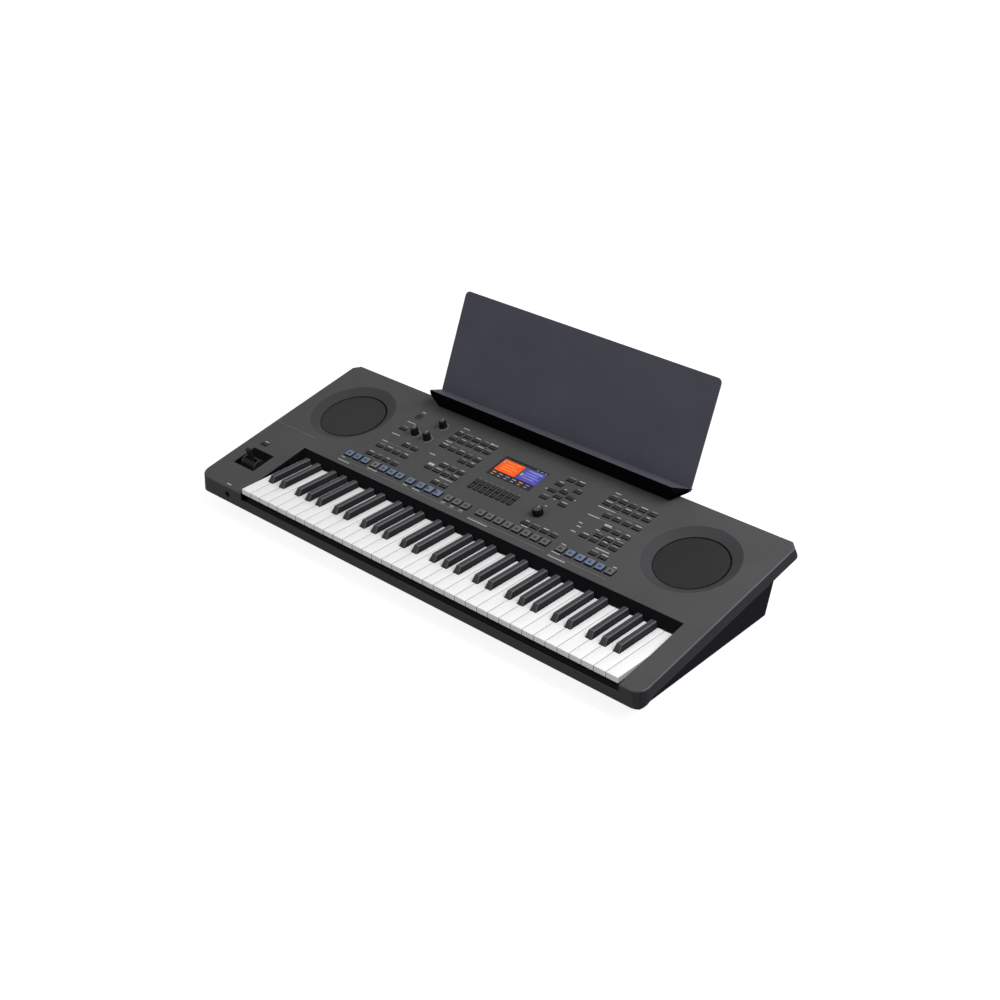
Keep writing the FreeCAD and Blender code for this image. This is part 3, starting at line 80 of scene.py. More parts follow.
def add_ramp(nodes, links, source, low, high):
    """A change from one colour to another; low and high are each a place on the ramp and a colour."""
    ramp = nodes.new("ShaderNodeValToRGB")
    for element, (place, colour) in zip(ramp.color_ramp.elements, (low, high)):
        element.position = place
        element.color = (*colour, 1)
    links.new(source, ramp.inputs["Fac"])
    return ramp.outputs["Color"]


def add_bump(nodes, links, shader, source, strength, height):
    bump = nodes.new("ShaderNodeBump")
    socket_value(bump, "Strength", strength)
    socket_value(bump, "Distance", height)
    links.new(source, bump.inputs["Height"])
    links.new(bump.outputs["Normal"], shader.inputs["Normal"])


# The shares of the noise at which an uneven tone starts and stops to change.
TONE_START_SHARE = 0.3
TONE_STOP_SHARE = 0.7


def shade_colour(nodes, links, shader, colour, noise, spread):
    """Let a colour wander a little around its mean."""
    low = [channel * (1 - spread) for channel in colour]
    high = [min(1, channel * (1 + spread)) for channel in colour]
    shade = add_ramp(nodes, links, noise.outputs["Fac"], (TONE_START_SHARE, low), (TONE_STOP_SHARE, high))
    links.new(shade, shader.inputs["Base Color"])
    return shade


# Mouldings: the scale of the unevenness is in cells per metre, the height of the grain in metres.
CLOUD_SCALE = 14
CLOUD_DETAIL = 3
GRAIN_DETAIL = 2
GRAIN_HEIGHT = 0.0003
ROUGHNESS_SPREAD = 0.06


def moulding(name, colour, roughness, grain=1400, strength=0.15, spread=0.06, metallic=0.0, gloss=0.06):
    """A moulded or painted surface with a fine grain and slight unevenness of tone."""
    material, nodes, links, shader = blank(name)
    socket_value(shader, "Metallic", metallic)
    socket_value(shader, "Specular IOR Level", gloss)
    cloud = add_noise(nodes, links, CLOUD_SCALE, CLOUD_DETAIL)
    shade_colour(nodes, links, shader, colour, cloud, spread)
    fine = add_noise(nodes, links, grain, GRAIN_DETAIL)
    add_bump(nodes, links, shader, fine.outputs["Fac"], strength, GRAIN_HEIGHT)
    rough = nodes.new("ShaderNodeMapRange")
    socket_value(rough, "To Min", max(0, roughness - ROUGHNESS_SPREAD))
    socket_value(rough, "To Max", min(1, roughness + ROUGHNESS_SPREAD))
    links.new(cloud.outputs["Fac"], rough.inputs["Value"])
    links.new(rough.outputs["Result"], shader.inputs["Roughness"])
    return material


# Perforated sheet: the rim of a hole lies between two shares of the pitch; its depth is in metres.
HOLE_START_SHARE = 0.3
HOLE_STOP_SHARE = 0.38
HOLE_STRENGTH = 0.5
HOLE_DEPTH = 0.0006
SHEET_GLOSS = 0.1


def perforated(name, sheet_colour, hole_colour, pitch, roughness):
    """A sheet with rows of small round holes; the pitch is in metres."""
    material, nodes, links, shader = blank(name)
    place = nodes.new("ShaderNodeTexCoord")
    cells = nodes.new("ShaderNodeTexVoronoi")
    cells.voronoi_dimensions = "2D"
    socket_value(cells, "Scale", 1 / pitch)
    socket_value(cells, "Randomness", 0)
    links.new(place.outputs["Object"], cells.inputs["Vector"])
    hole = (HOLE_START_SHARE, hole_colour)
    sheet = (HOLE_STOP_SHARE, sheet_colour)
    pattern = add_ramp(nodes, links, cells.outputs["Distance"], hole, sheet)
    links.new(pattern, shader.inputs["Base Color"])
    add_bump(nodes, links, shader, pattern, HOLE_STRENGTH, HOLE_DEPTH)
    socket_value(shader, "Roughness", roughness)
    socket_value(shader, "Specular IOR Level", SHEET_GLOSS)
    return material


# Circuit boards
TRACK_SCALE = 60
TRACK_SHADE_SHARE = 0.8
TRACK_GAP = 0.03
BOARD_ROUGHNESS = 0.35


def board_lacquer(name, colour, copper):
    """A circuit board: lacquer over faint tracks."""
    material, nodes, links, shader = blank(name)
    darker = [channel * TRACK_SHADE_SHARE for channel in colour]
    place = nodes.new("ShaderNodeTexCoord")
    tracks = nodes.new("ShaderNodeTexBrick")
    socket_value(tracks, "Scale", TRACK_SCALE)
    socket_value(tracks, "Color1", (*colour, 1))
    socket_value(tracks, "Color2", (*darker, 1))
    socket_value(tracks, "Mortar", (*copper, 1))
    socket_value(tracks, "Mortar Size", TRACK_GAP)
    links.new(place.outputs["Object"], tracks.inputs["Vector"])
    links.new(tracks.outputs["Color"], shader.inputs["Base Color"])
    socket_value(shader, "Roughness", BOARD_ROUGHNESS)
    return material


# The display's picture
PICTURE_SCALE = 90
PICTURE_DETAIL = 2
PICTURE_SPREAD = 0.12
PICTURE_GLOW = 0.35
PICTURE_ROUGHNESS = 0.3
PICTURE_GLOSS = 0.15


def lit(name, colour):
    """A lit patch of the display's picture behind its glossy cover."""
    material, nodes, links, shader = blank(name)
    cloud = add_noise(nodes, links, PICTURE_SCALE, PICTURE_DETAIL)
    shade = shade_colour(nodes, links, shader, colour, cloud, PICTURE_SPREAD)
    links.new(shade, shader.inputs["Emission Color"])
    socket_value(shader, "Emission Strength", PICTURE_GLOW)
    socket_value(shader, "Roughness", PICTURE_ROUGHNESS)
    socket_value(shader, "Specular IOR Level", PICTURE_GLOSS)
    return material


# Case and speakers
CASE_TOP = moulding("case_top_plastic", (0.072, 0.072, 0.0745), 0.6)
# The front, corners and ends are the panel's plastic, painted darker as shade.
FRONT_SHADE = moulding("case_front_painted_shade", (0.052, 0.052, 0.054), 0.65)
CORNER_SHADE = moulding("case_corner_painted_shade", (0.037, 0.0373, 0.042), 0.65)
CASE_SIDE_SHADE = moulding("case_side_painted_shade", (0.0265, 0.027, 0.033), 0.65)
# The funnels are the panel's plastic, painted darker as shade.
FUNNEL_SHADE = moulding("funnel_painted_shade", (0.052, 0.052, 0.055), 0.6)
# The end edges are the panel's plastic, painted lighter as a highlight.
CASE_EDGE_HIGHLIGHT = moulding("case_top_edge_painted_highlight", (0.115, 0.115, 0.12), 0.5)
CASE_BOTTOM = moulding(
    "case_bottom_plastic", (0.0045, 0.005, 0.0075), 0.7, grain=900, strength=0.2, gloss=0.03)
# Near black: painted shade on the walls of the key well, and also the joystick tray's colour.
WELL_SHADE_AND_TRAY_BLACK = moulding("well_shade_and_tray_black", (0.006, 0.006, 0.007), 0.75, gloss=0.01)
GRILLE = perforated(
    "grille_sheet", (0.031, 0.031, 0.033), (0.004, 0.004, 0.004), pitch=0.0022, roughness=0.5)
# The grille's edge faces are painted darker as shade.
GRILLE_RIM_SHADE = moulding("grille_rim_painted_shade", (0.02, 0.02, 0.021), 0.5)
PRESSED_STEEL = moulding("pressed_steel", (0.32, 0.32, 0.33), 0.35, metallic=1.0)
PAPER = moulding("paper_cone", (0.02, 0.02, 0.02), 0.9, grain=500, strength=0.5)
LENS_BLACK = moulding("display_cover", (0.005, 0.005, 0.006), 0.16, strength=0.0, gloss=0.2)

# Inner pieces, joystick and sockets
BOARD_GREEN = board_lacquer("board_lacquer", (0.02, 0.09, 0.045), (0.2, 0.16, 0.06))
MAT_RUBBER = moulding("switch_mat_rubber", (0.3, 0.3, 0.31), 0.75)
FRAME_PLASTIC = moulding("key_frame_plastic", (0.03, 0.03, 0.03), 0.6)
FELT = moulding("stop_felt", (0.03, 0.03, 0.032), 0.95, grain=700, strength=0.8, spread=0.2)
BLACK_PLASTIC = moulding("joystick_plastic", (0.012, 0.012, 0.013), 0.42)
# The rings at the drum's ends are painted lighter as a highlight.
DRUM_RING_HIGHLIGHT = moulding("joystick_highlight_ring", (0.05, 0.05, 0.052), 0.4)
SOCKET_BLACK = moulding("socket_plastic", (0.005, 0.005, 0.006), 0.5)
BRIGHT_METAL = moulding("socket_metal", (0.27, 0.27, 0.28), 0.38, metallic=1.0)
FOOT_RUBBER = moulding("foot_rubber", (0.012, 0.012, 0.012), 0.85, grain=600, strength=0.4)
SCREW_STEEL = moulding("screw_steel", (0.08, 0.08, 0.08), 0.4, metallic=1.0)

# Music rest
REST_GREY = moulding("rest_plastic", (0.075, 0.075, 0.098), 0.55, grain=1100)
REST_RIDGE = moulding("rest_ridge", (0.1, 0.1, 0.115), 0.45)
# The ledge's front face is painted near black as shade.
LEDGE_FRONT_SHADE = moulding("rest_front_painted_shade", (0.004, 0.004, 0.005), 0.85, gloss=0.0)

# Keys
KEY_WHITE = moulding("white_key_plastic", (0.85, 0.85, 0.86), 0.3, strength=0.01, spread=0.006, gloss=0.3)
# The white keys' flanks are painted grey as the shade in the gaps between keys.
WHITE_FLANK_SHADE = moulding("white_key_painted_flank_shade", (0.5, 0.5, 0.51), 0.5, strength=0.01)
KEY_BLACK = moulding("black_key_top", (0.05, 0.05, 0.054), 0.42, strength=0.08)
# The black keys' flanks are painted darker than their tops as shade.
BLACK_FLANK_SHADE = moulding("black_key_painted_flank_shade", (0.019, 0.019, 0.021), 0.45, strength=0.08)
# The black keys' broken edges are painted lighter as a highlight.
BLACK_KEY_HIGHLIGHT = moulding("black_key_painted_edge_highlight", (0.15, 0.15, 0.16), 0.4, strength=0.05)

# Buttons, pads and knobs
BUTTON_TOP = moulding("button_top", (0.027, 0.027, 0.029), 0.6)
# Near black, painted as the shadow in the gaps round the buttons and pads and in the recess round each
# grille.
GAP_SHADOW = moulding("button_gap", (0.004, 0.004, 0.004), 0.8, gloss=0.0)
# The buttons' sides are painted near black as shade.
BUTTON_SIDE_SHADE = moulding("button_side_painted_shade", (0.004, 0.004, 0.005), 0.7)
# The buttons' broken edges are painted lighter as a highlight.
BUTTON_EDGE_HIGHLIGHT = moulding("button_painted_edge_highlight", (0.075, 0.075, 0.08), 0.5)
PAD_GREY = moulding("pad_grey", (0.13, 0.13, 0.138), 0.5, strength=0.1)
PAD_BLUE = moulding("pad_blue", (0.15, 0.185, 0.265), 0.5, strength=0.1)
PAD_TAN = moulding("pad_tan", (0.19, 0.17, 0.155), 0.5, strength=0.1)
# The pads' sides are painted dark as shade.
PAD_SIDE_SHADE = moulding("pad_side_painted_shade", (0.02, 0.02, 0.023), 0.55)
ICON_BLUE = moulding("pad_icon_blue", (0.045, 0.07, 0.13), 0.5)
ICON_GREY = moulding("pad_icon_grey", (0.045, 0.045, 0.05), 0.5)
KNOB_BLACK = moulding("knob_black", (0.01, 0.01, 0.011), 0.5)
KNOB_CAP = moulding("knob_cap", (0.06, 0.06, 0.061), 0.45)

# Prints and picture
PRINT_LIGHT = moulding("print_light", (0.45, 0.45, 0.45), 0.55)
PRINT_FAINT = moulding("print_faint", (0.2, 0.2, 0.2), 0.55)
PICTURE_ORANGE = lit("picture_orange", (0.68, 0.075, 0.008))
PICTURE_AMBER = lit("picture_amber", (0.72, 0.17, 0.02))
PICTURE_VIOLET = lit("picture_violet", (0.055, 0.055, 0.3))
PICTURE_PALE = lit("picture_pale", (0.16, 0.17, 0.45))
PICTURE_WHITE = lit("picture_white", (0.26, 0.26, 0.27))

# Pieces

ROUND_SIDES = 48
# Prints and thin trim lie between these heights over the surface that carries them.
PRINT_LOW = 0.02
PRINT_HIGH = 0.07


def piece(name, mesh, body, materials):
    """Link a finished mesh that is already in the object's frame, and let it ride on a body."""
    thing = bpy.data.objects.new(name, mesh)
    bpy.context.scene.collection.objects.link(thing)
    for material in materials:
        mesh.materials.append(material)
    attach(thing, body)
    return thing


def mesh_of(name, shape, place):
    shape.transform(place)
    bmesh.ops.recalc_face_normals(shape, faces=shape.faces)
    mesh = bpy.data.meshes.new(name)
    shape.to_mesh(mesh)
    shape.free()
    return mesh


def add_block(shape, low, high, slot=0):
    """A block between two corners, in the material of one slot; its corners are given back."""
    centre = [(a + b) / 2 for a, b in zip(low, high)]
    size = [b - a for a, b in zip(low, high)]
    place = Matrix.Translation(centre) @ Matrix.Diagonal((*size, 1))
    corners = bmesh.ops.create_cube(shape, size=1, matrix=place)["verts"]
    for face in {face for corner in corners for face in corner.link_faces}:
        face.material_index = slot
    return corners


def add_round(shape, centre, low_radius, top_radius, low, high):
    """A round block on an upright axis."""
    place = Matrix.Translation((*centre, (low + high) / 2))
    bmesh.ops.create_cone(
        shape, cap_ends=True, segments=ROUND_SIDES, radius1=low_radius, radius2=top_radius,
        depth=high - low, matrix=place)


def points_of(node):
    """The points of a CAD node, in the panel's frame."""
    return [TO_PANEL @ vert.co for vert in NODES[node].data.vertices]


def box_of(points):
    """The low and high corners of the box round some points."""
    low = Vector([min(values) for values in zip(*points)])
    high = Vector([max(values) for values in zip(*points)])
    return low, high


def top_middle(points):
    """The middle of some points, seen from above, at the level of the highest."""
    low, high = box_of(points)
    return Vector(((low.x + high.x) / 2, (low.y + high.y) / 2, high.z))


def half_width(points):
    low, high = box_of(points)
    return (high.x - low.x) / 2


def dress(node, materials, choose=None):
    """Give a CAD node its materials; choose names one from a face's place and direction on the panel."""
    thing = NODES[node]
    thing.data.materials.clear()
    for material in materials:
        thing.data.materials.append(material)
    for face in thing.data.polygons:
        chosen = choose(TO_PANEL @ face.center, PANEL_TURN @ face.normal) if choose else materials[0]
        face.material_index = materials.index(chosen)
    return thing


# Broken edges. Points of a node that are nearer than the weld gap are one point.
WELD_GAP = 0.002
SAME_PLANE = math.radians(1)
SHARP_EDGE = math.radians(35)
EDGE_STEPS = 2


def soften(node, width, edge=None, smooth=True):
    """Show a CAD node with its sharp edges broken, in a material of their own where one is named."""
    thing = NODES[node]
    weld = thing.modifiers.new("weld", "WELD")
    weld.merge_threshold = WELD_GAP * MM
    flat = thing.modifiers.new("flat", "DECIMATE")
    flat.decimate_type = "DISSOLVE"
    flat.angle_limit = SAME_PLANE
    bevel = thing.modifiers.new("edges", "BEVEL")
    bevel.width = width * MM
    bevel.segments = EDGE_STEPS
    if edge:
        bevel.material = thing.data.materials.find(edge.name)
    bevel.limit_method = "ANGLE"
    bevel.angle_limit = SHARP_EDGE
    bevel.harden_normals = smooth
    for face in thing.data.polygons:
        face.use_smooth = smooth


# A face takes the look of its side when this share of its direction points that way.
LEVEL_SHARE = 0.9
FLANK_SHARE = 0.7
SLOPING_SHARE = 0.6
LEDGE_SHARE = 0.5


def by_level(share, top, other):
    """A choice between faces that look up and all others."""
    return lambda spot, way: top if way.z > share else other


# Upper case

GRILLE_NODES = ("speaker_grille_left", "speaker_grille_right")
WELL_MARGIN = 4
WELL_DIP = 0.5
FASCIA_DEPTH = 3.5
FUNNEL_REACH = 24
FUNNEL_DIP = 0.1
EDGE_BAND = 6
ROUNDED_SHARE = 0.92
STEEP_SHARE = 0.25
CORNER_SHARE = 0.25
END_SHARE = 0.6
# The middle and radius of each grille.
GRILLES = [(top_middle(points_of(node)), half_width(points_of(node))) for node in GRILLE_NODES]


def in_well(spot):
    across = WELL_LEFT - WELL_MARGIN < spot.x < WELL_RIGHT + WELL_MARGIN
    along = FASCIA_DEPTH < spot.y < WELL_BACK + WELL_MARGIN
    return across and along and spot.z < -WELL_DIP


def in_funnel(spot):
    near = any((spot - middle).xy.length < radius + FUNNEL_REACH for middle, radius in GRILLES)
    return near and spot.z < -FUNNEL_DIP


def case_face(spot, way):
    """The well's walls are painted black as shade, funnels, front, corners and ends are painted darker as
    shade, and the end edges are painted lighter as a highlight.
    """
    # Walls of the key well: painted shade.
    if in_well(spot) and way.z < LEVEL_SHARE:
        return WELL_SHADE_AND_TRAY_BLACK
    # Funnel walls: painted shade.
    if in_funnel(spot):
        return FUNNEL_SHADE
    # Steep faces: front, corners and ends painted darker as shade.
    if way.z < STEEP_SHARE:
        if abs(way.x) > END_SHARE:
            return CASE_SIDE_SHADE
        if abs(way.x) > CORNER_SHARE:
            return CORNER_SHADE
        return FRONT_SHADE if way.y < 0 else CASE_TOP
    # Rounded end edges: painted highlight.
    at_end = spot.x < EDGE_BAND or spot.x > WIDTH - EDGE_BAND
    return CASE_EDGE_HIGHLIGHT if at_end and way.z < ROUNDED_SHARE else CASE_TOP


dress("upper_case", [CASE_TOP, WELL_SHADE_AND_TRAY_BLACK, CASE_EDGE_HIGHLIGHT, FUNNEL_SHADE, CASE_SIDE_SHADE, CORNER_SHADE, FRONT_SHADE], case_face)
# The grilles' edge faces are painted darker as shade.
for node in GRILLE_NODES:
    dress(node, [GRILLE, GRILLE_RIM_SHADE], by_level(LEVEL_SHARE, GRILLE, GRILLE_RIM_SHADE))

# Lower case, inner pieces and sockets

STICK_ROUNDING = 0.5
PLAIN_NODES = {
    "lower_case": CASE_BOTTOM,
    "back_strip": CASE_BOTTOM,
    "jack_plate": CASE_BOTTOM,
    "rubber_feet": FOOT_RUBBER,
    "case_screws": SCREW_STEEL,
    "speaker_baskets": PRESSED_STEEL,
    "speaker_cones": PAPER,
    "display_window": LENS_BLACK,
    "display_module": FRAME_PLASTIC,
    "panel_boards": BOARD_GREEN,
    "main_board": BOARD_GREEN,
    "key_contact_board": BOARD_GREEN,
    "switch_mats": MAT_RUBBER,
    "key_contact_strip": MAT_RUBBER,
    "key_frame": FRAME_PLASTIC,
    "key_stop_felt": FELT,
    "joystick_tray": WELL_SHADE_AND_TRAY_BLACK,
    "joystick_drum": BLACK_PLASTIC,
    "joystick_lever": BLACK_PLASTIC,
    "phones_socket": SOCKET_BLACK,
    "rear_jacks": SOCKET_BLACK,
    "power_inlet": SOCKET_BLACK,
}


def port_face(spot, way):
    return SOCKET_BLACK if way.y > FLANK_SHARE else BRIGHT_METAL


for node, material in PLAIN_NODES.items():
    dress(node, [material])
for node in ("joystick_drum", "joystick_lever"):
    soften(node, STICK_ROUNDING)
dress("usb_socket", [BRIGHT_METAL, SOCKET_BLACK], port_face)

# Keys

WHITE_NOTES = ("c", "d", "e", "f", "g", "a", "b")
BLACK_NOTES = ("c_sharp", "d_sharp", "f_sharp", "g_sharp", "a_sharp")
WHITE_ROUNDING = 0.5
BLACK_ROUNDING = 0.45


# Flanks of the white keys: painted shade.
def white_key_face(spot, way):
    return WHITE_FLANK_SHADE if abs(way.x) > FLANK_SHARE else KEY_WHITE


for note in WHITE_NOTES:
    dress(f"keys_{note}", [KEY_WHITE, WHITE_FLANK_SHADE], white_key_face)
    soften(f"keys_{note}", WHITE_ROUNDING)
for note in BLACK_NOTES:
    # Flanks of the black keys: painted darker than the tops as shade.
    dress(f"keys_{note}", [KEY_BLACK, BLACK_KEY_HIGHLIGHT, BLACK_FLANK_SHADE], by_level(SLOPING_SHARE, KEY_BLACK, BLACK_FLANK_SHADE))
    # Broken edges of the black keys: painted highlight.
    soften(f"keys_{note}", BLACK_ROUNDING, edge=BLACK_KEY_HIGHLIGHT)

# Buttons

BUTTON_NODES = (
    "song_buttons", "assign_button", "style_buttons", "tempo_buttons", "soft_keys", "arrow_buttons",
    "voice_buttons", "part_buttons", "hold_button", "standby_button")
BUTTON_ROUNDING = 0.3
for node in BUTTON_NODES:
    # Sides of the buttons: painted shade.
    dress(node, [BUTTON_TOP, BUTTON_SIDE_SHADE, BUTTON_EDGE_HIGHLIGHT], by_level(LEVEL_SHARE, BUTTON_TOP, BUTTON_SIDE_SHADE))
    # Broken edges of the buttons: painted highlight.
    soften(node, BUTTON_ROUNDING, edge=BUTTON_EDGE_HIGHLIGHT)

# Pads

PITCH = 20.2
PAD_SIZE = 14.5
PAD_ROUNDING = 0.6
# The tones of each row of pads, from left to right.
PAD_ROWS = {
    "start_pads": [PAD_BLUE] * 3,
    "accent_pads": [PAD_TAN] + [PAD_BLUE] * 3,
    "fill_pads": [PAD_BLUE] * 4,
    "loop_pads": [PAD_GREY] * 3,
    "memory_pads": [PAD_GREY] * 8,
    "voice_pads": [PAD_GREY] + [PAD_BLUE] * 4 + [PAD_GREY],
}
# An icon is a square with a short bar over it; its edges are measured from the middle of the pad.
ICONS = [ICON_BLUE, ICON_GREY]
ICON_HALF = 3.2
ICON_SQUARE_BACK = 1.2
ICON_BAR_FRONT = 2.1
ICON_BAR_RIGHT = 1.4
ICON_HIGH = 0.08


def first_pad(node):
    """The middle of a row's first pad."""
    low, high = box_of(points_of(node))
    return low.x + PAD_SIZE / 2


def pad_number(spot, first, count):
    return max(0, min(round((spot.x - first) / PITCH), count - 1))


def by_pad(first, tones):
    """A choice among the faces of a row of pads: sides painted dark as shade, and each pad's own tone on
    top.
    """
    def choose(spot, way):
        return PAD_SIDE_SHADE if way.z < SLOPING_SHARE else tones[pad_number(spot, first, len(tones))]
    return choose


def pad_tops(pads, first, count):
    """The corners of each pad's top."""
    tops = [[] for number in range(count)]
    for face in pads.data.polygons:
        if pads.data.materials[face.material_index] != PAD_SIDE_SHADE:
            number = pad_number(TO_PANEL @ face.center, first, count)
            tops[number] += [TO_PANEL @ pads.data.vertices[index].co for index in face.vertices]
    return tops


def add_icon(shape, points, slot):
    x, y, level = top_middle(points)
    left = x - ICON_HALF
    low = level + PRINT_LOW
    high = level + ICON_HIGH
    add_block(shape, (left, y - ICON_HALF, low), (x + ICON_HALF, y + ICON_SQUARE_BACK, high), slot)
    add_block(shape, (left, y + ICON_BAR_FRONT, low), (x + ICON_BAR_RIGHT, y + ICON_HALF, high), slot)


for node, tones in PAD_ROWS.items():
    first = first_pad(node)
    pads = dress(node, [PAD_BLUE, PAD_GREY, PAD_TAN, PAD_SIDE_SHADE], by_pad(first, tones))
    soften(node, PAD_ROUNDING)
    shape = bmesh.new()
    for points, tone in zip(pad_tops(pads, first, len(tones)), tones):
        add_icon(shape, points, ICONS.index(ICON_BLUE if tone == PAD_BLUE else ICON_GREY))
    piece(f"{node}_icons", mesh_of("icons", shape, PANEL), node, ICONS)

# Music rest, with fine ridges along the top of its ledge

BOARD_ROUNDING = 0.5
LEDGE_ROUNDING = 0.6
REST_LEAN = math.radians(56.25)
RIDGE_HIGH = 0.3
# For each ridge: its place up the ledge, its width and its margin at both ends.
RIDGES = ((9, 0.8, 11), (27, 0.8, 7), (33, 0.6, 6))
LEDGE_LOW, LEDGE_HIGH = box_of(points_of("music_rest_ledge"))
LEDGE_TOP = (
    PANEL @ Matrix.Translation((0, LEDGE_LOW.y, LEDGE_HIGH.z))
    @ Matrix.Rotation(REST_LEAN - math.pi / 2, 4, "X")
)
dress("music_rest_board", [REST_GREY])
soften("music_rest_board", BOARD_ROUNDING, smooth=False)
# Front face of the ledge: painted shade.
dress("music_rest_ledge", [REST_GREY, LEDGE_FRONT_SHADE], by_level(LEDGE_SHARE, REST_GREY, LEDGE_FRONT_SHADE))
soften("music_rest_ledge", LEDGE_ROUNDING)
shape = bmesh.new()
for along, width, margin in RIDGES:
    low = (LEDGE_LOW.x + margin, along, PRINT_LOW)
    high = (LEDGE_HIGH.x - margin, along + width, RIDGE_HIGH)
    add_block(shape, low, high)
piece("rest_ridges", mesh_of("rest_ridges", shape, LEDGE_TOP), "music_rest", [REST_RIDGE])

# Knobs: ribs round the side, a grey cap and a pointer

# The number of ribs of each knob.
KNOB_RIBS = {"control_knob_left": 14, "control_knob_right": 14, "volume_knob": 14, "data_dial": 24}
KNOB_ROUNDING = 0.3
KNOB_BEVEL = 0.7
SAME_LEVEL = 0.01
RIB_SINK = 0.4
RIB_RISE = 0.45
RIB_HALF = 0.45
RIB_FOOT_MARGIN = 1.2
RIB_TOP_MARGIN = 1.4
CAP_LOOKS = [KNOB_CAP, PRINT_LIGHT]
CAP_BEVEL = 0.2
CAP_HIGH = 0.25
POINTER_HALF = 0.5
POINTER_START = 0.3
POINTER_MARGIN = 0.4
POINTER_LOW = 0.2
POINTER_HIGH = 0.4


def face_radius(points):
    """The radius of a knob's flat top, inside its bevel."""
    middle = top_middle(points)
    return max((point - middle).xy.length for point in points if point.z > middle.z - SAME_LEVEL)


def ribs_of(points, ribs):
    """Ribs that follow the slope of a knob's side."""
    x, y, height = top_middle(points)
    foot = half_width(points)
    top = face_radius(points) + KNOB_BEVEL
    low = (top - RIB_SINK, -RIB_HALF, RIB_FOOT_MARGIN)
    high = (top + RIB_RISE, RIB_HALF, height - RIB_TOP_MARGIN)
    shape = bmesh.new()
    for number in range(ribs):
        turn = Matrix.Translation((x, y, 0)) @ Matrix.Rotation(2 * math.pi * number / ribs, 4, "Z")
        for vert in add_block(shape, low, high):
            vert.co.x += (foot - top) * (1 - vert.co.z / height)
            vert.co = turn @ vert.co
    return mesh_of("ribs", shape, PANEL)


def cap_of(points):
    """A thin cap over a knob's flat top, with a pointer on it."""
    x, y, height = top_middle(points)
    face = face_radius(points)
    shape = bmesh.new()
    add_round(shape, (x, y), face, face - CAP_BEVEL, height, height + CAP_HIGH)
    low = (x - POINTER_HALF, y + POINTER_START, height + POINTER_LOW)
    high = (x + POINTER_HALF, y + face - POINTER_MARGIN, height + POINTER_HIGH)
    add_block(shape, low, high, CAP_LOOKS.index(PRINT_LIGHT))
    return mesh_of("cap", shape, PANEL)


for node, ribs in KNOB_RIBS.items():
    dress(node, [KNOB_BLACK])
    soften(node, KNOB_ROUNDING)
    piece(f"{node}_ribs", ribs_of(points_of(node), ribs), node, [KNOB_BLACK])
    piece(f"{node}_cap", cap_of(points_of(node)), node, CAP_LOOKS)

# Joystick: rings at the ends of the drum, painted lighter as a highlight

DRUM_LOW, DRUM_HIGH = box_of(points_of("joystick_drum"))
DRUM_MIDDLE = (DRUM_LOW + DRUM_HIGH) / 2
DRUM_RADIUS = (DRUM_HIGH.z - DRUM_LOW.z) / 2
RING_RISE = 0.25
RING_RADIUS = DRUM_RADIUS + RING_RISE
RING_NEAR = 15.6
RING_FAR = 17.6
WALL_CORNERS = 4
for side, name in ((-1, "left"), (1, "right")):
    shape = bmesh.new()
    add_round(shape, (0, 0), RING_RADIUS, RING_RADIUS, RING_NEAR, RING_FAR)
    shape.transform(Matrix.Translation(DRUM_MIDDLE) @ Matrix.Rotation(side * math.pi / 2, 4, "Y"))
    ring = piece(f"joystick_highlight_ring_{name}", mesh_of("ring", shape, PANEL), "joystick_drum", [DRUM_RING_HIGHLIGHT])
    for face in ring.data.polygons:
        face.use_smooth = len(face.vertices) == WALL_CORNERS

# Prints on the panel: plain bars in place of words, lines, small marks and scales

PRINTS = [PRINT_LIGHT, PRINT_FAINT]
BAR_BREADTH = 1.7
LINE_BREADTH = 0.5
WIDE_PITCH = 40
# For each row of buttons: the first button's place, the pitch, the count and the height on the panel.
BUTTON_ROWS = (
    (231.7, PITCH, 4, 205),
    (231.7, PITCH, 4, 230.5),
    (272.1, PITCH, 2, 255.5),
    (231.7, PITCH, 1, 289.5),
    (332, PITCH, 5, 331),
    (332, PITCH, 5, 314.5),
    (332, PITCH, 5, 289.5),
    (392.6, PITCH, 2, 273),
    (372.4, PITCH, 3, 247.5),
    (352.2, PITCH, 4, 230.5),
    (392.6, PITCH, 2, 205),
    (590.9, PITCH, 2, 331),
    (581, WIDE_PITCH, 2, 313),
    (581, WIDE_PITCH, 2, 273),
    (600, PITCH, 4, 205),
    (682.6, PITCH, 5, 331),
    (682.6, PITCH, 5, 314.5),
    (702.8, PITCH, 4, 289.5),
    (723, PITCH, 3, 263),
    (723, PITCH, 3, 243.5),
    (702.8, PITCH, 4, 230.5),
    (743.2, PITCH, 2, 205),
    (40.5, PITCH, 1, 123),
)
LABEL_LENGTHS = (11, 13.5, 9, 12, 7.5)
LABEL_STEP = 2
LABEL_RISE = 6.6
# Bars that head a block of buttons: place, height on the panel and length.
HEADINGS = (
    (232, 310.5, 20), (232, 270.5, 19), (229, 246, 13), (231, 345, 9), (332, 304, 16), (332, 262, 14),
    (404, 221, 30), (334, 348, 14), (682, 345, 12), (691, 303.5, 36), (685, 278, 24), (677, 254, 8),
    (713, 254, 7), (755, 254, 8), (681, 245, 9), (681, 231, 10), (752, 218.5, 28), (207, 164, 28),
    (530, 164.5, 44), (702, 164, 36), (197, 173, 9), (270, 173, 24), (352, 173, 10), (378, 173, 18),
    (692, 174.5, 18), (604, 198.3, 14), (690, 197.5, 9), (795, 197.5, 7), (569, 293.5, 3.5),
    (631, 293.5, 3.5), (600, 308, 4), (600, 278.5, 4), (600, 257, 4),
)
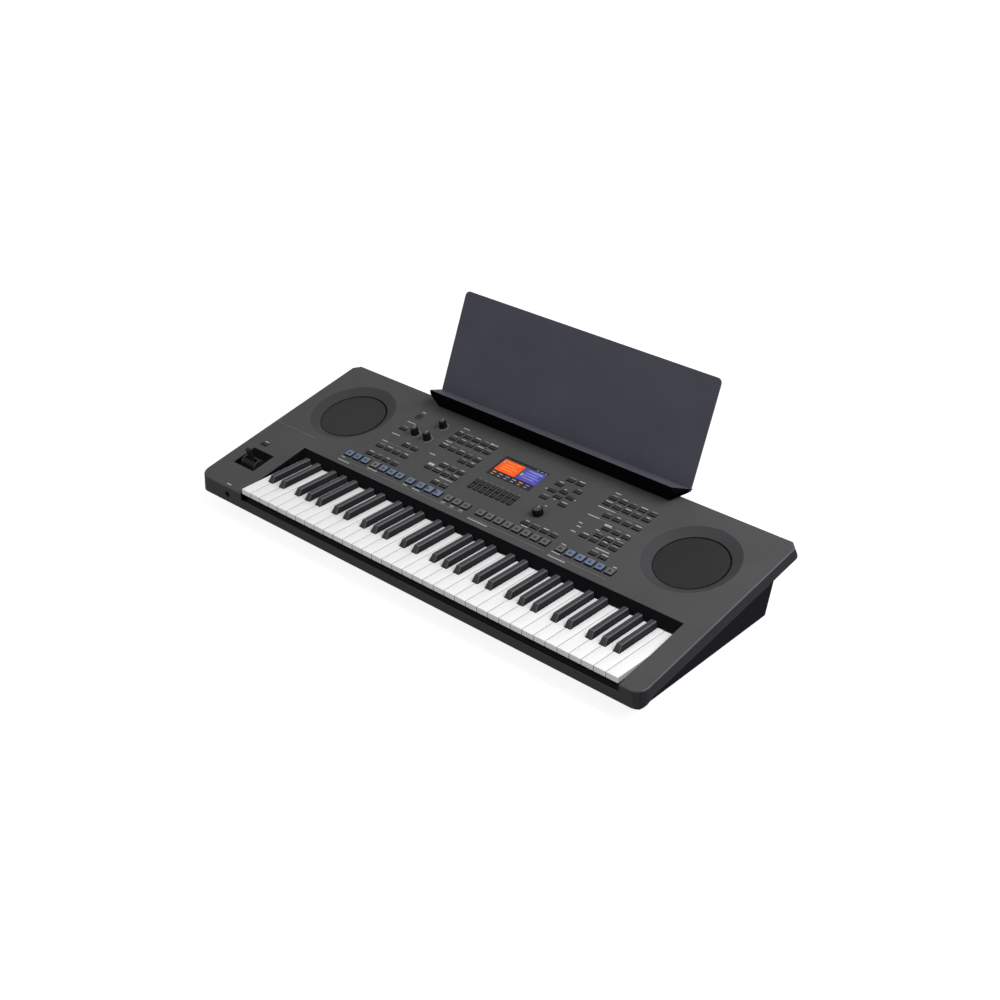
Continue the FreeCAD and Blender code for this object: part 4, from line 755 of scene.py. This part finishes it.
# Filled badges: place, height on the panel, length and breadth.
BADGES = ((351, 239.7, 13, 6), (720.5, 271.3, 14, 4), (410, 338, 17, 3))
LOOP_MARKS = (443.5, 464, 484.5)
LOOP_MARK_Y = 172.7
LOOP_MARK_LENGTH = 8.5
LOOP_MARK_BREADTH = 5.5
# Long thin lines: left end, right end and height on the panel.
LINES = (
    (190, 492, 168), (507, 672, 168), (682, 802, 168), (696, 772, 303.5), (696, 772, 278),
    (345, 421, 304), (240, 299, 246), (2, 114, 185),
)
# Marks over the display's keys.
KEY_MARK_FIRST = 453.5
KEY_MARK_PITCH = 12.7
KEY_MARK_COUNT = 8
KEY_MARK_Y = 255.5
KEY_MARK_LENGTH = 3
KEY_MARK_BREADTH = 1.6
# The phones mark at the front edge: place, height on the panel, length and breadth.
PHONES_MARK = (76.7, 7.6, 11, 2.2)
# Scales round the knobs: an arc of dashes with ticks outside it.
SCALED_KNOBS = ("volume_knob", "control_knob_left", "control_knob_right")
SCALE_START = math.radians(-60)
SCALE_SWEEP = math.radians(300)
ARC_RADIUS = 9.6
ARC_HALF = 0.35
ARC_STEPS = 20
DASH_LENGTH = 2.6
TICK_STEPS = 10
TICK_NEAR = 0.3
TICK_FAR = 1.9
TICK_WIDTH = 0.8


def bar(shape, x, y, length, breadth=BAR_BREADTH, material=PRINT_LIGHT):
    """A flat print with its middle at a place on the panel."""
    low = (x - length / 2, y - breadth / 2, PRINT_LOW)
    high = (x + length / 2, y + breadth / 2, PRINT_HIGH)
    add_block(shape, low, high, PRINTS.index(material))


def spoke(shape, x, y, angle, near, far, width, material):
    """A short print that lies along a ray from a knob's axis."""
    turn = Matrix.Translation((x, y, 0)) @ Matrix.Rotation(angle, 4, "Z")
    low = (near, -width / 2, PRINT_LOW)
    high = (far, width / 2, PRINT_HIGH)
    for vert in add_block(shape, low, high, PRINTS.index(material)):
        vert.co = turn @ vert.co


def add_labels(shape):
    """A bar over each button, in changing lengths and tones."""
    for row, (first, pitch, count, y) in enumerate(BUTTON_ROWS):
        for number in range(count):
            length = LABEL_LENGTHS[(row + LABEL_STEP * number) % len(LABEL_LENGTHS)]
            tone = PRINTS[(row + number) % len(PRINTS)]
            bar(shape, first + number * pitch, y + LABEL_RISE, length, material=tone)


def add_marks(shape):
    for x, y, length in HEADINGS:
        bar(shape, x, y, length)
    for x, y, length, breadth in BADGES:
        bar(shape, x, y, length, breadth)
    for x in LOOP_MARKS:
        bar(shape, x, LOOP_MARK_Y, LOOP_MARK_LENGTH, LOOP_MARK_BREADTH, PRINT_FAINT)
    for left, right, y in LINES:
        bar(shape, (left + right) / 2, y, right - left, LINE_BREADTH, PRINT_FAINT)
    for number in range(KEY_MARK_COUNT):
        x = KEY_MARK_FIRST + KEY_MARK_PITCH * number
        bar(shape, x, KEY_MARK_Y, KEY_MARK_LENGTH, KEY_MARK_BREADTH, PRINT_FAINT)
    bar(shape, *PHONES_MARK)


def add_scale(shape, x, y):
    """The arc and ticks round a knob."""
    for number in range(ARC_STEPS + 1):
        angle = SCALE_START + SCALE_SWEEP * number / ARC_STEPS
        spoke(shape, x, y, angle, ARC_RADIUS - ARC_HALF, ARC_RADIUS + ARC_HALF, DASH_LENGTH, PRINT_FAINT)
    for number in range(TICK_STEPS + 1):
        angle = SCALE_START + SCALE_SWEEP * number / TICK_STEPS
        spoke(shape, x, y, angle, ARC_RADIUS + TICK_NEAR, ARC_RADIUS + TICK_FAR, TICK_WIDTH, PRINT_LIGHT)


shape = bmesh.new()
add_labels(shape)
add_marks(shape)
for node in SCALED_KNOBS:
    x, y, level = top_middle(points_of(node))
    add_scale(shape, x, y)
piece("panel_prints", mesh_of("panel_prints", shape, PANEL), "case", PRINTS)

# Painted shadow in the gaps round the buttons and pads

# The painted shadow runs from a near to a far margin outside the cap, and further in front of it.
GAP_NEAR = 0.15
GAP_FAR = 0.9
GAP_FRONT = 1.6
SHOWN_LEVEL = 0.2


def islands(node):
    """The corners of each separate piece of a CAD node."""
    shape = bmesh.new()
    shape.from_mesh(NODES[node].data)
    bmesh.ops.remove_doubles(shape, verts=shape.verts, dist=WELD_GAP * MM)
    seen = set()
    found = []
    for first in shape.verts:
        if first in seen:
            continue
        seen.add(first)
        waiting = [first]
        group = []
        while waiting:
            vert = waiting.pop()
            group.append(TO_PANEL @ vert.co)
            for edge in vert.link_edges:
                other = edge.other_vert(vert)
                if other not in seen:
                    seen.add(other)
                    waiting.append(other)
        found.append(group)
    shape.free()
    return found


def gap_round(shape, points):
    """Four thin strips of painted shadow on the panel round the part of a button that shows."""
    low, high = box_of([point for point in points if point.z > SHOWN_LEVEL])
    strips = (
        (low.x - GAP_FAR, low.y - GAP_FRONT, high.x + GAP_FAR, low.y - GAP_NEAR),
        (low.x - GAP_FAR, high.y + GAP_NEAR, high.x + GAP_FAR, high.y + GAP_FAR),
        (low.x - GAP_FAR, low.y - GAP_NEAR, low.x - GAP_NEAR, high.y + GAP_NEAR),
        (high.x + GAP_NEAR, low.y - GAP_NEAR, high.x + GAP_FAR, high.y + GAP_NEAR),
    )
    for left, front, right, back in strips:
        add_block(shape, (left, front, PRINT_LOW), (right, back, PRINT_HIGH))


shape = bmesh.new()
for node in (*BUTTON_NODES, *PAD_ROWS):
    if node != "standby_button":
        for points in islands(node):
            gap_round(shape, points)
piece("button_gaps", mesh_of("button_gaps", shape, PANEL), "case", [GAP_SHADOW])

# Painted shadow in a groove round each grille, wider at the back than at the front

GROOVE_SIDES = 96
GROOVE_MARGIN = 0.3
GROOVE_WIDTH = 1.6
GROOVE_SHIFT = 1.4


def ring_points(shape, middle, radius, shift, lift):
    points = []
    for number in range(GROOVE_SIDES):
        angle = 2 * math.pi * number / GROOVE_SIDES
        spot = middle + Vector((radius * math.cos(angle), radius * math.sin(angle) + shift, lift))
        points.append(shape.verts.new(spot))
    return points


def add_groove_shadow(shape, middle, radius):
    outer = radius - GROOVE_MARGIN
    inner = outer - GROOVE_WIDTH
    outer_low = ring_points(shape, middle, outer, 0, PRINT_LOW)
    outer_high = ring_points(shape, middle, outer, 0, PRINT_HIGH)
    inner_low = ring_points(shape, middle, inner, -GROOVE_SHIFT, PRINT_LOW)
    inner_high = ring_points(shape, middle, inner, -GROOVE_SHIFT, PRINT_HIGH)
    rings = (outer_low, outer_high, inner_high, inner_low, outer_low)
    for near, far in zip(rings, rings[1:]):
        for number in range(GROOVE_SIDES):
            after = (number + 1) % GROOVE_SIDES
            shape.faces.new((near[number], near[after], far[after], far[number]))


shape = bmesh.new()
for middle, radius in GRILLES:
    add_groove_shadow(shape, middle, radius)
piece("grille_groove_shadows", mesh_of("grille_groove_shadows", shape, PANEL), "case", [GAP_SHADOW])

# Display picture: two lit fields over a dark strip, with a plain pattern of bars

PICTURE = [PICTURE_ORANGE, PICTURE_AMBER, PICTURE_VIOLET, PICTURE_PALE, PICTURE_WHITE]
WINDOW_LEVEL = top_middle(points_of("display_window")).z
PICTURE_HIGH = 0.08
BAR_LIFT = 0.03
# Fields and bars: left, right, front and back edge, and colour.
FIELDS = (
    (454, 500.5, 288, 320, PICTURE_ORANGE),
    (502.5, 547, 288, 320, PICTURE_VIOLET),
)
FIELD_BARS = (
    (457, 494, 313, 317, PICTURE_AMBER),
    (511, 542, 313, 317, PICTURE_PALE),
    (462, 488, 307, 309.5, PICTURE_AMBER),
    (511, 537, 307, 309.5, PICTURE_PALE),
    (462, 494, 301, 303.5, PICTURE_AMBER),
    (511, 542, 301, 303.5, PICTURE_PALE),
    (462, 488, 295, 297.5, PICTURE_AMBER),
    (511, 537, 295, 297.5, PICTURE_PALE),
    (504, 509, 298, 305, PICTURE_WHITE),
    (456, 461, 311, 317, PICTURE_WHITE),
)
# Two rows of bars in the strip below the fields.
STRIP_FIRST = 457
STRIP_PITCH = 15
STRIP_TONES = (
    PICTURE_AMBER, PICTURE_WHITE, PICTURE_PALE, PICTURE_WHITE, PICTURE_AMBER, PICTURE_PALE)
STRIP_BACK_ROW = (281.5, 283.5)
STRIP_BACK_LENGTH = 8
STRIP_FRONT_ROW = (276, 277.6)
STRIP_FRONT_LENGTH = 6
# Small bars above the right field.
HEAD_FIRST = 522
HEAD_PITCH = 9
HEAD_COUNT = 3
HEAD_ROW = (322.3, 323.8)
HEAD_LENGTH = 5


def patch(shape, left, right, front, back, material, lift=BAR_LIFT):
    low = (left, front, WINDOW_LEVEL + PRINT_LOW)
    high = (right, back, WINDOW_LEVEL + PICTURE_HIGH + lift)
    add_block(shape, low, high, PICTURE.index(material))


shape = bmesh.new()
for field in FIELDS:
    patch(shape, *field, lift=0)
for field_bar in FIELD_BARS:
    patch(shape, *field_bar)
for number, tone in enumerate(STRIP_TONES):
    left = STRIP_FIRST + STRIP_PITCH * number
    patch(shape, left, left + STRIP_BACK_LENGTH, *STRIP_BACK_ROW, tone)
    patch(shape, left, left + STRIP_FRONT_LENGTH, *STRIP_FRONT_ROW, PICTURE_WHITE)
for number in range(HEAD_COUNT):
    left = HEAD_FIRST + HEAD_PITCH * number
    patch(shape, left, left + HEAD_LENGTH, *HEAD_ROW, PICTURE_WHITE)
piece("display_picture", mesh_of("display_picture", shape, PANEL), "case", PICTURE)

# Camera, in the object's frame

CAMERA_AT = Vector((1686.1, -1709.0, 1488.8)) * MM
CAMERA_RIGHT = Vector((0.731385, 0.681564, -0.023372))
CAMERA_DOWN = Vector((0.324791, -0.378257, -0.866852))
CAMERA_AHEAD = Vector((-0.599656, 0.626411, -0.498018))
LENS = 60.3
SENSOR = 36
camera = bpy.data.objects.new("camera", bpy.data.cameras.new("camera"))
bpy.context.scene.collection.objects.link(camera)
axes = Matrix((CAMERA_RIGHT, -CAMERA_DOWN, -CAMERA_AHEAD)).transposed()
camera.matrix_world = Matrix.Translation(CAMERA_AT) @ axes.to_4x4()
camera.data.lens = LENS
camera.data.sensor_width = SENSOR
bpy.context.scene.camera = camera

# Floor, lamps and world, in metres and watts; the floor and the world are white where they are seen

FLOOR_SIZE = 30
FLOOR_TONE = (0.27, 0.27, 0.27)
FLOOR_LIFT = 0.88
WORLD_LIGHT = 0.38
# For each lamp: its name, place, aim, size and power.
LAMPS = (
    ("top_light", (1.75, 0.4, 2.45), (0, 0, 0), (1.9, 1.8), 68),
    ("front_light", (-1.4, -2.6, 2.2), (0, 0, 0.1), (1.6, 1.6), 15),
    ("right_light", (2.4, 1.4, 2.0), (0, 0, 0.1), (1.4, 1.4), 7),
)


def seen_directly(nodes, links):
    """1 for rays of sight, also in a reflection or through glass, and 0 for rays that light the object."""
    path = nodes.new("ShaderNodeLightPath")
    first = nodes.new("ShaderNodeMath")
    second = nodes.new("ShaderNodeMath")
    second.use_clamp = True
    links.new(path.outputs["Is Camera Ray"], first.inputs[0])
    links.new(path.outputs["Is Glossy Ray"], first.inputs[1])
    links.new(first.outputs[0], second.inputs[0])
    links.new(path.outputs["Is Transmission Ray"], second.inputs[1])
    return second.outputs[0]


def scaled(nodes, links, source, factor, offset):
    step = nodes.new("ShaderNodeMath")
    step.operation = "MULTIPLY_ADD"
    links.new(source, step.inputs[0])
    step.inputs[1].default_value = factor
    step.inputs[2].default_value = offset
    return step.outputs[0]


def floor_paper():
    """White where it is seen, with the object's shadow on it."""
    paper = moulding("floor_paper", FLOOR_TONE, 0.9, grain=300, strength=0.02, spread=0.01)
    nodes = paper.node_tree.nodes
    links = paper.node_tree.links
    shader = nodes["Principled BSDF"]
    socket_value(shader, "Emission Color", PLAIN_WHITE)
    glow = scaled(nodes, links, seen_directly(nodes, links), FLOOR_LIFT, 0)
    links.new(glow, shader.inputs["Emission Strength"])
    return paper


def softbox(name, spot, aim, size, power):
    light = bpy.data.lights.new(name, "AREA")
    light.shape = "RECTANGLE"
    light.size, light.size_y = size
    light.energy = power
    lamp = bpy.data.objects.new(name, light)
    bpy.context.scene.collection.objects.link(lamp)
    lamp.location = spot
    lamp.rotation_euler = (Vector(aim) - Vector(spot)).to_track_quat("-Z", "Y").to_euler()


def studio_world():
    """White where it is seen, while it lights the object at a part of that."""
    world = bpy.data.worlds.new("studio")
    world.use_nodes = True
    nodes = world.node_tree.nodes
    links = world.node_tree.links
    background = nodes["Background"]
    socket_value(background, "Color", PLAIN_WHITE)
    strength = scaled(nodes, links, seen_directly(nodes, links), 1 - WORLD_LIGHT, WORLD_LIGHT)
    links.new(strength, background.inputs["Strength"])
    return world


bpy.ops.mesh.primitive_plane_add(size=FLOOR_SIZE, location=(0, 0, 0))
floor = bpy.context.object
floor.name = "floor"
floor.data.materials.append(floor_paper())
for lamp in LAMPS:
    softbox(*lamp)
bpy.context.scene.world = studio_world()
bpy.context.scene.view_settings.view_transform = "Standard"
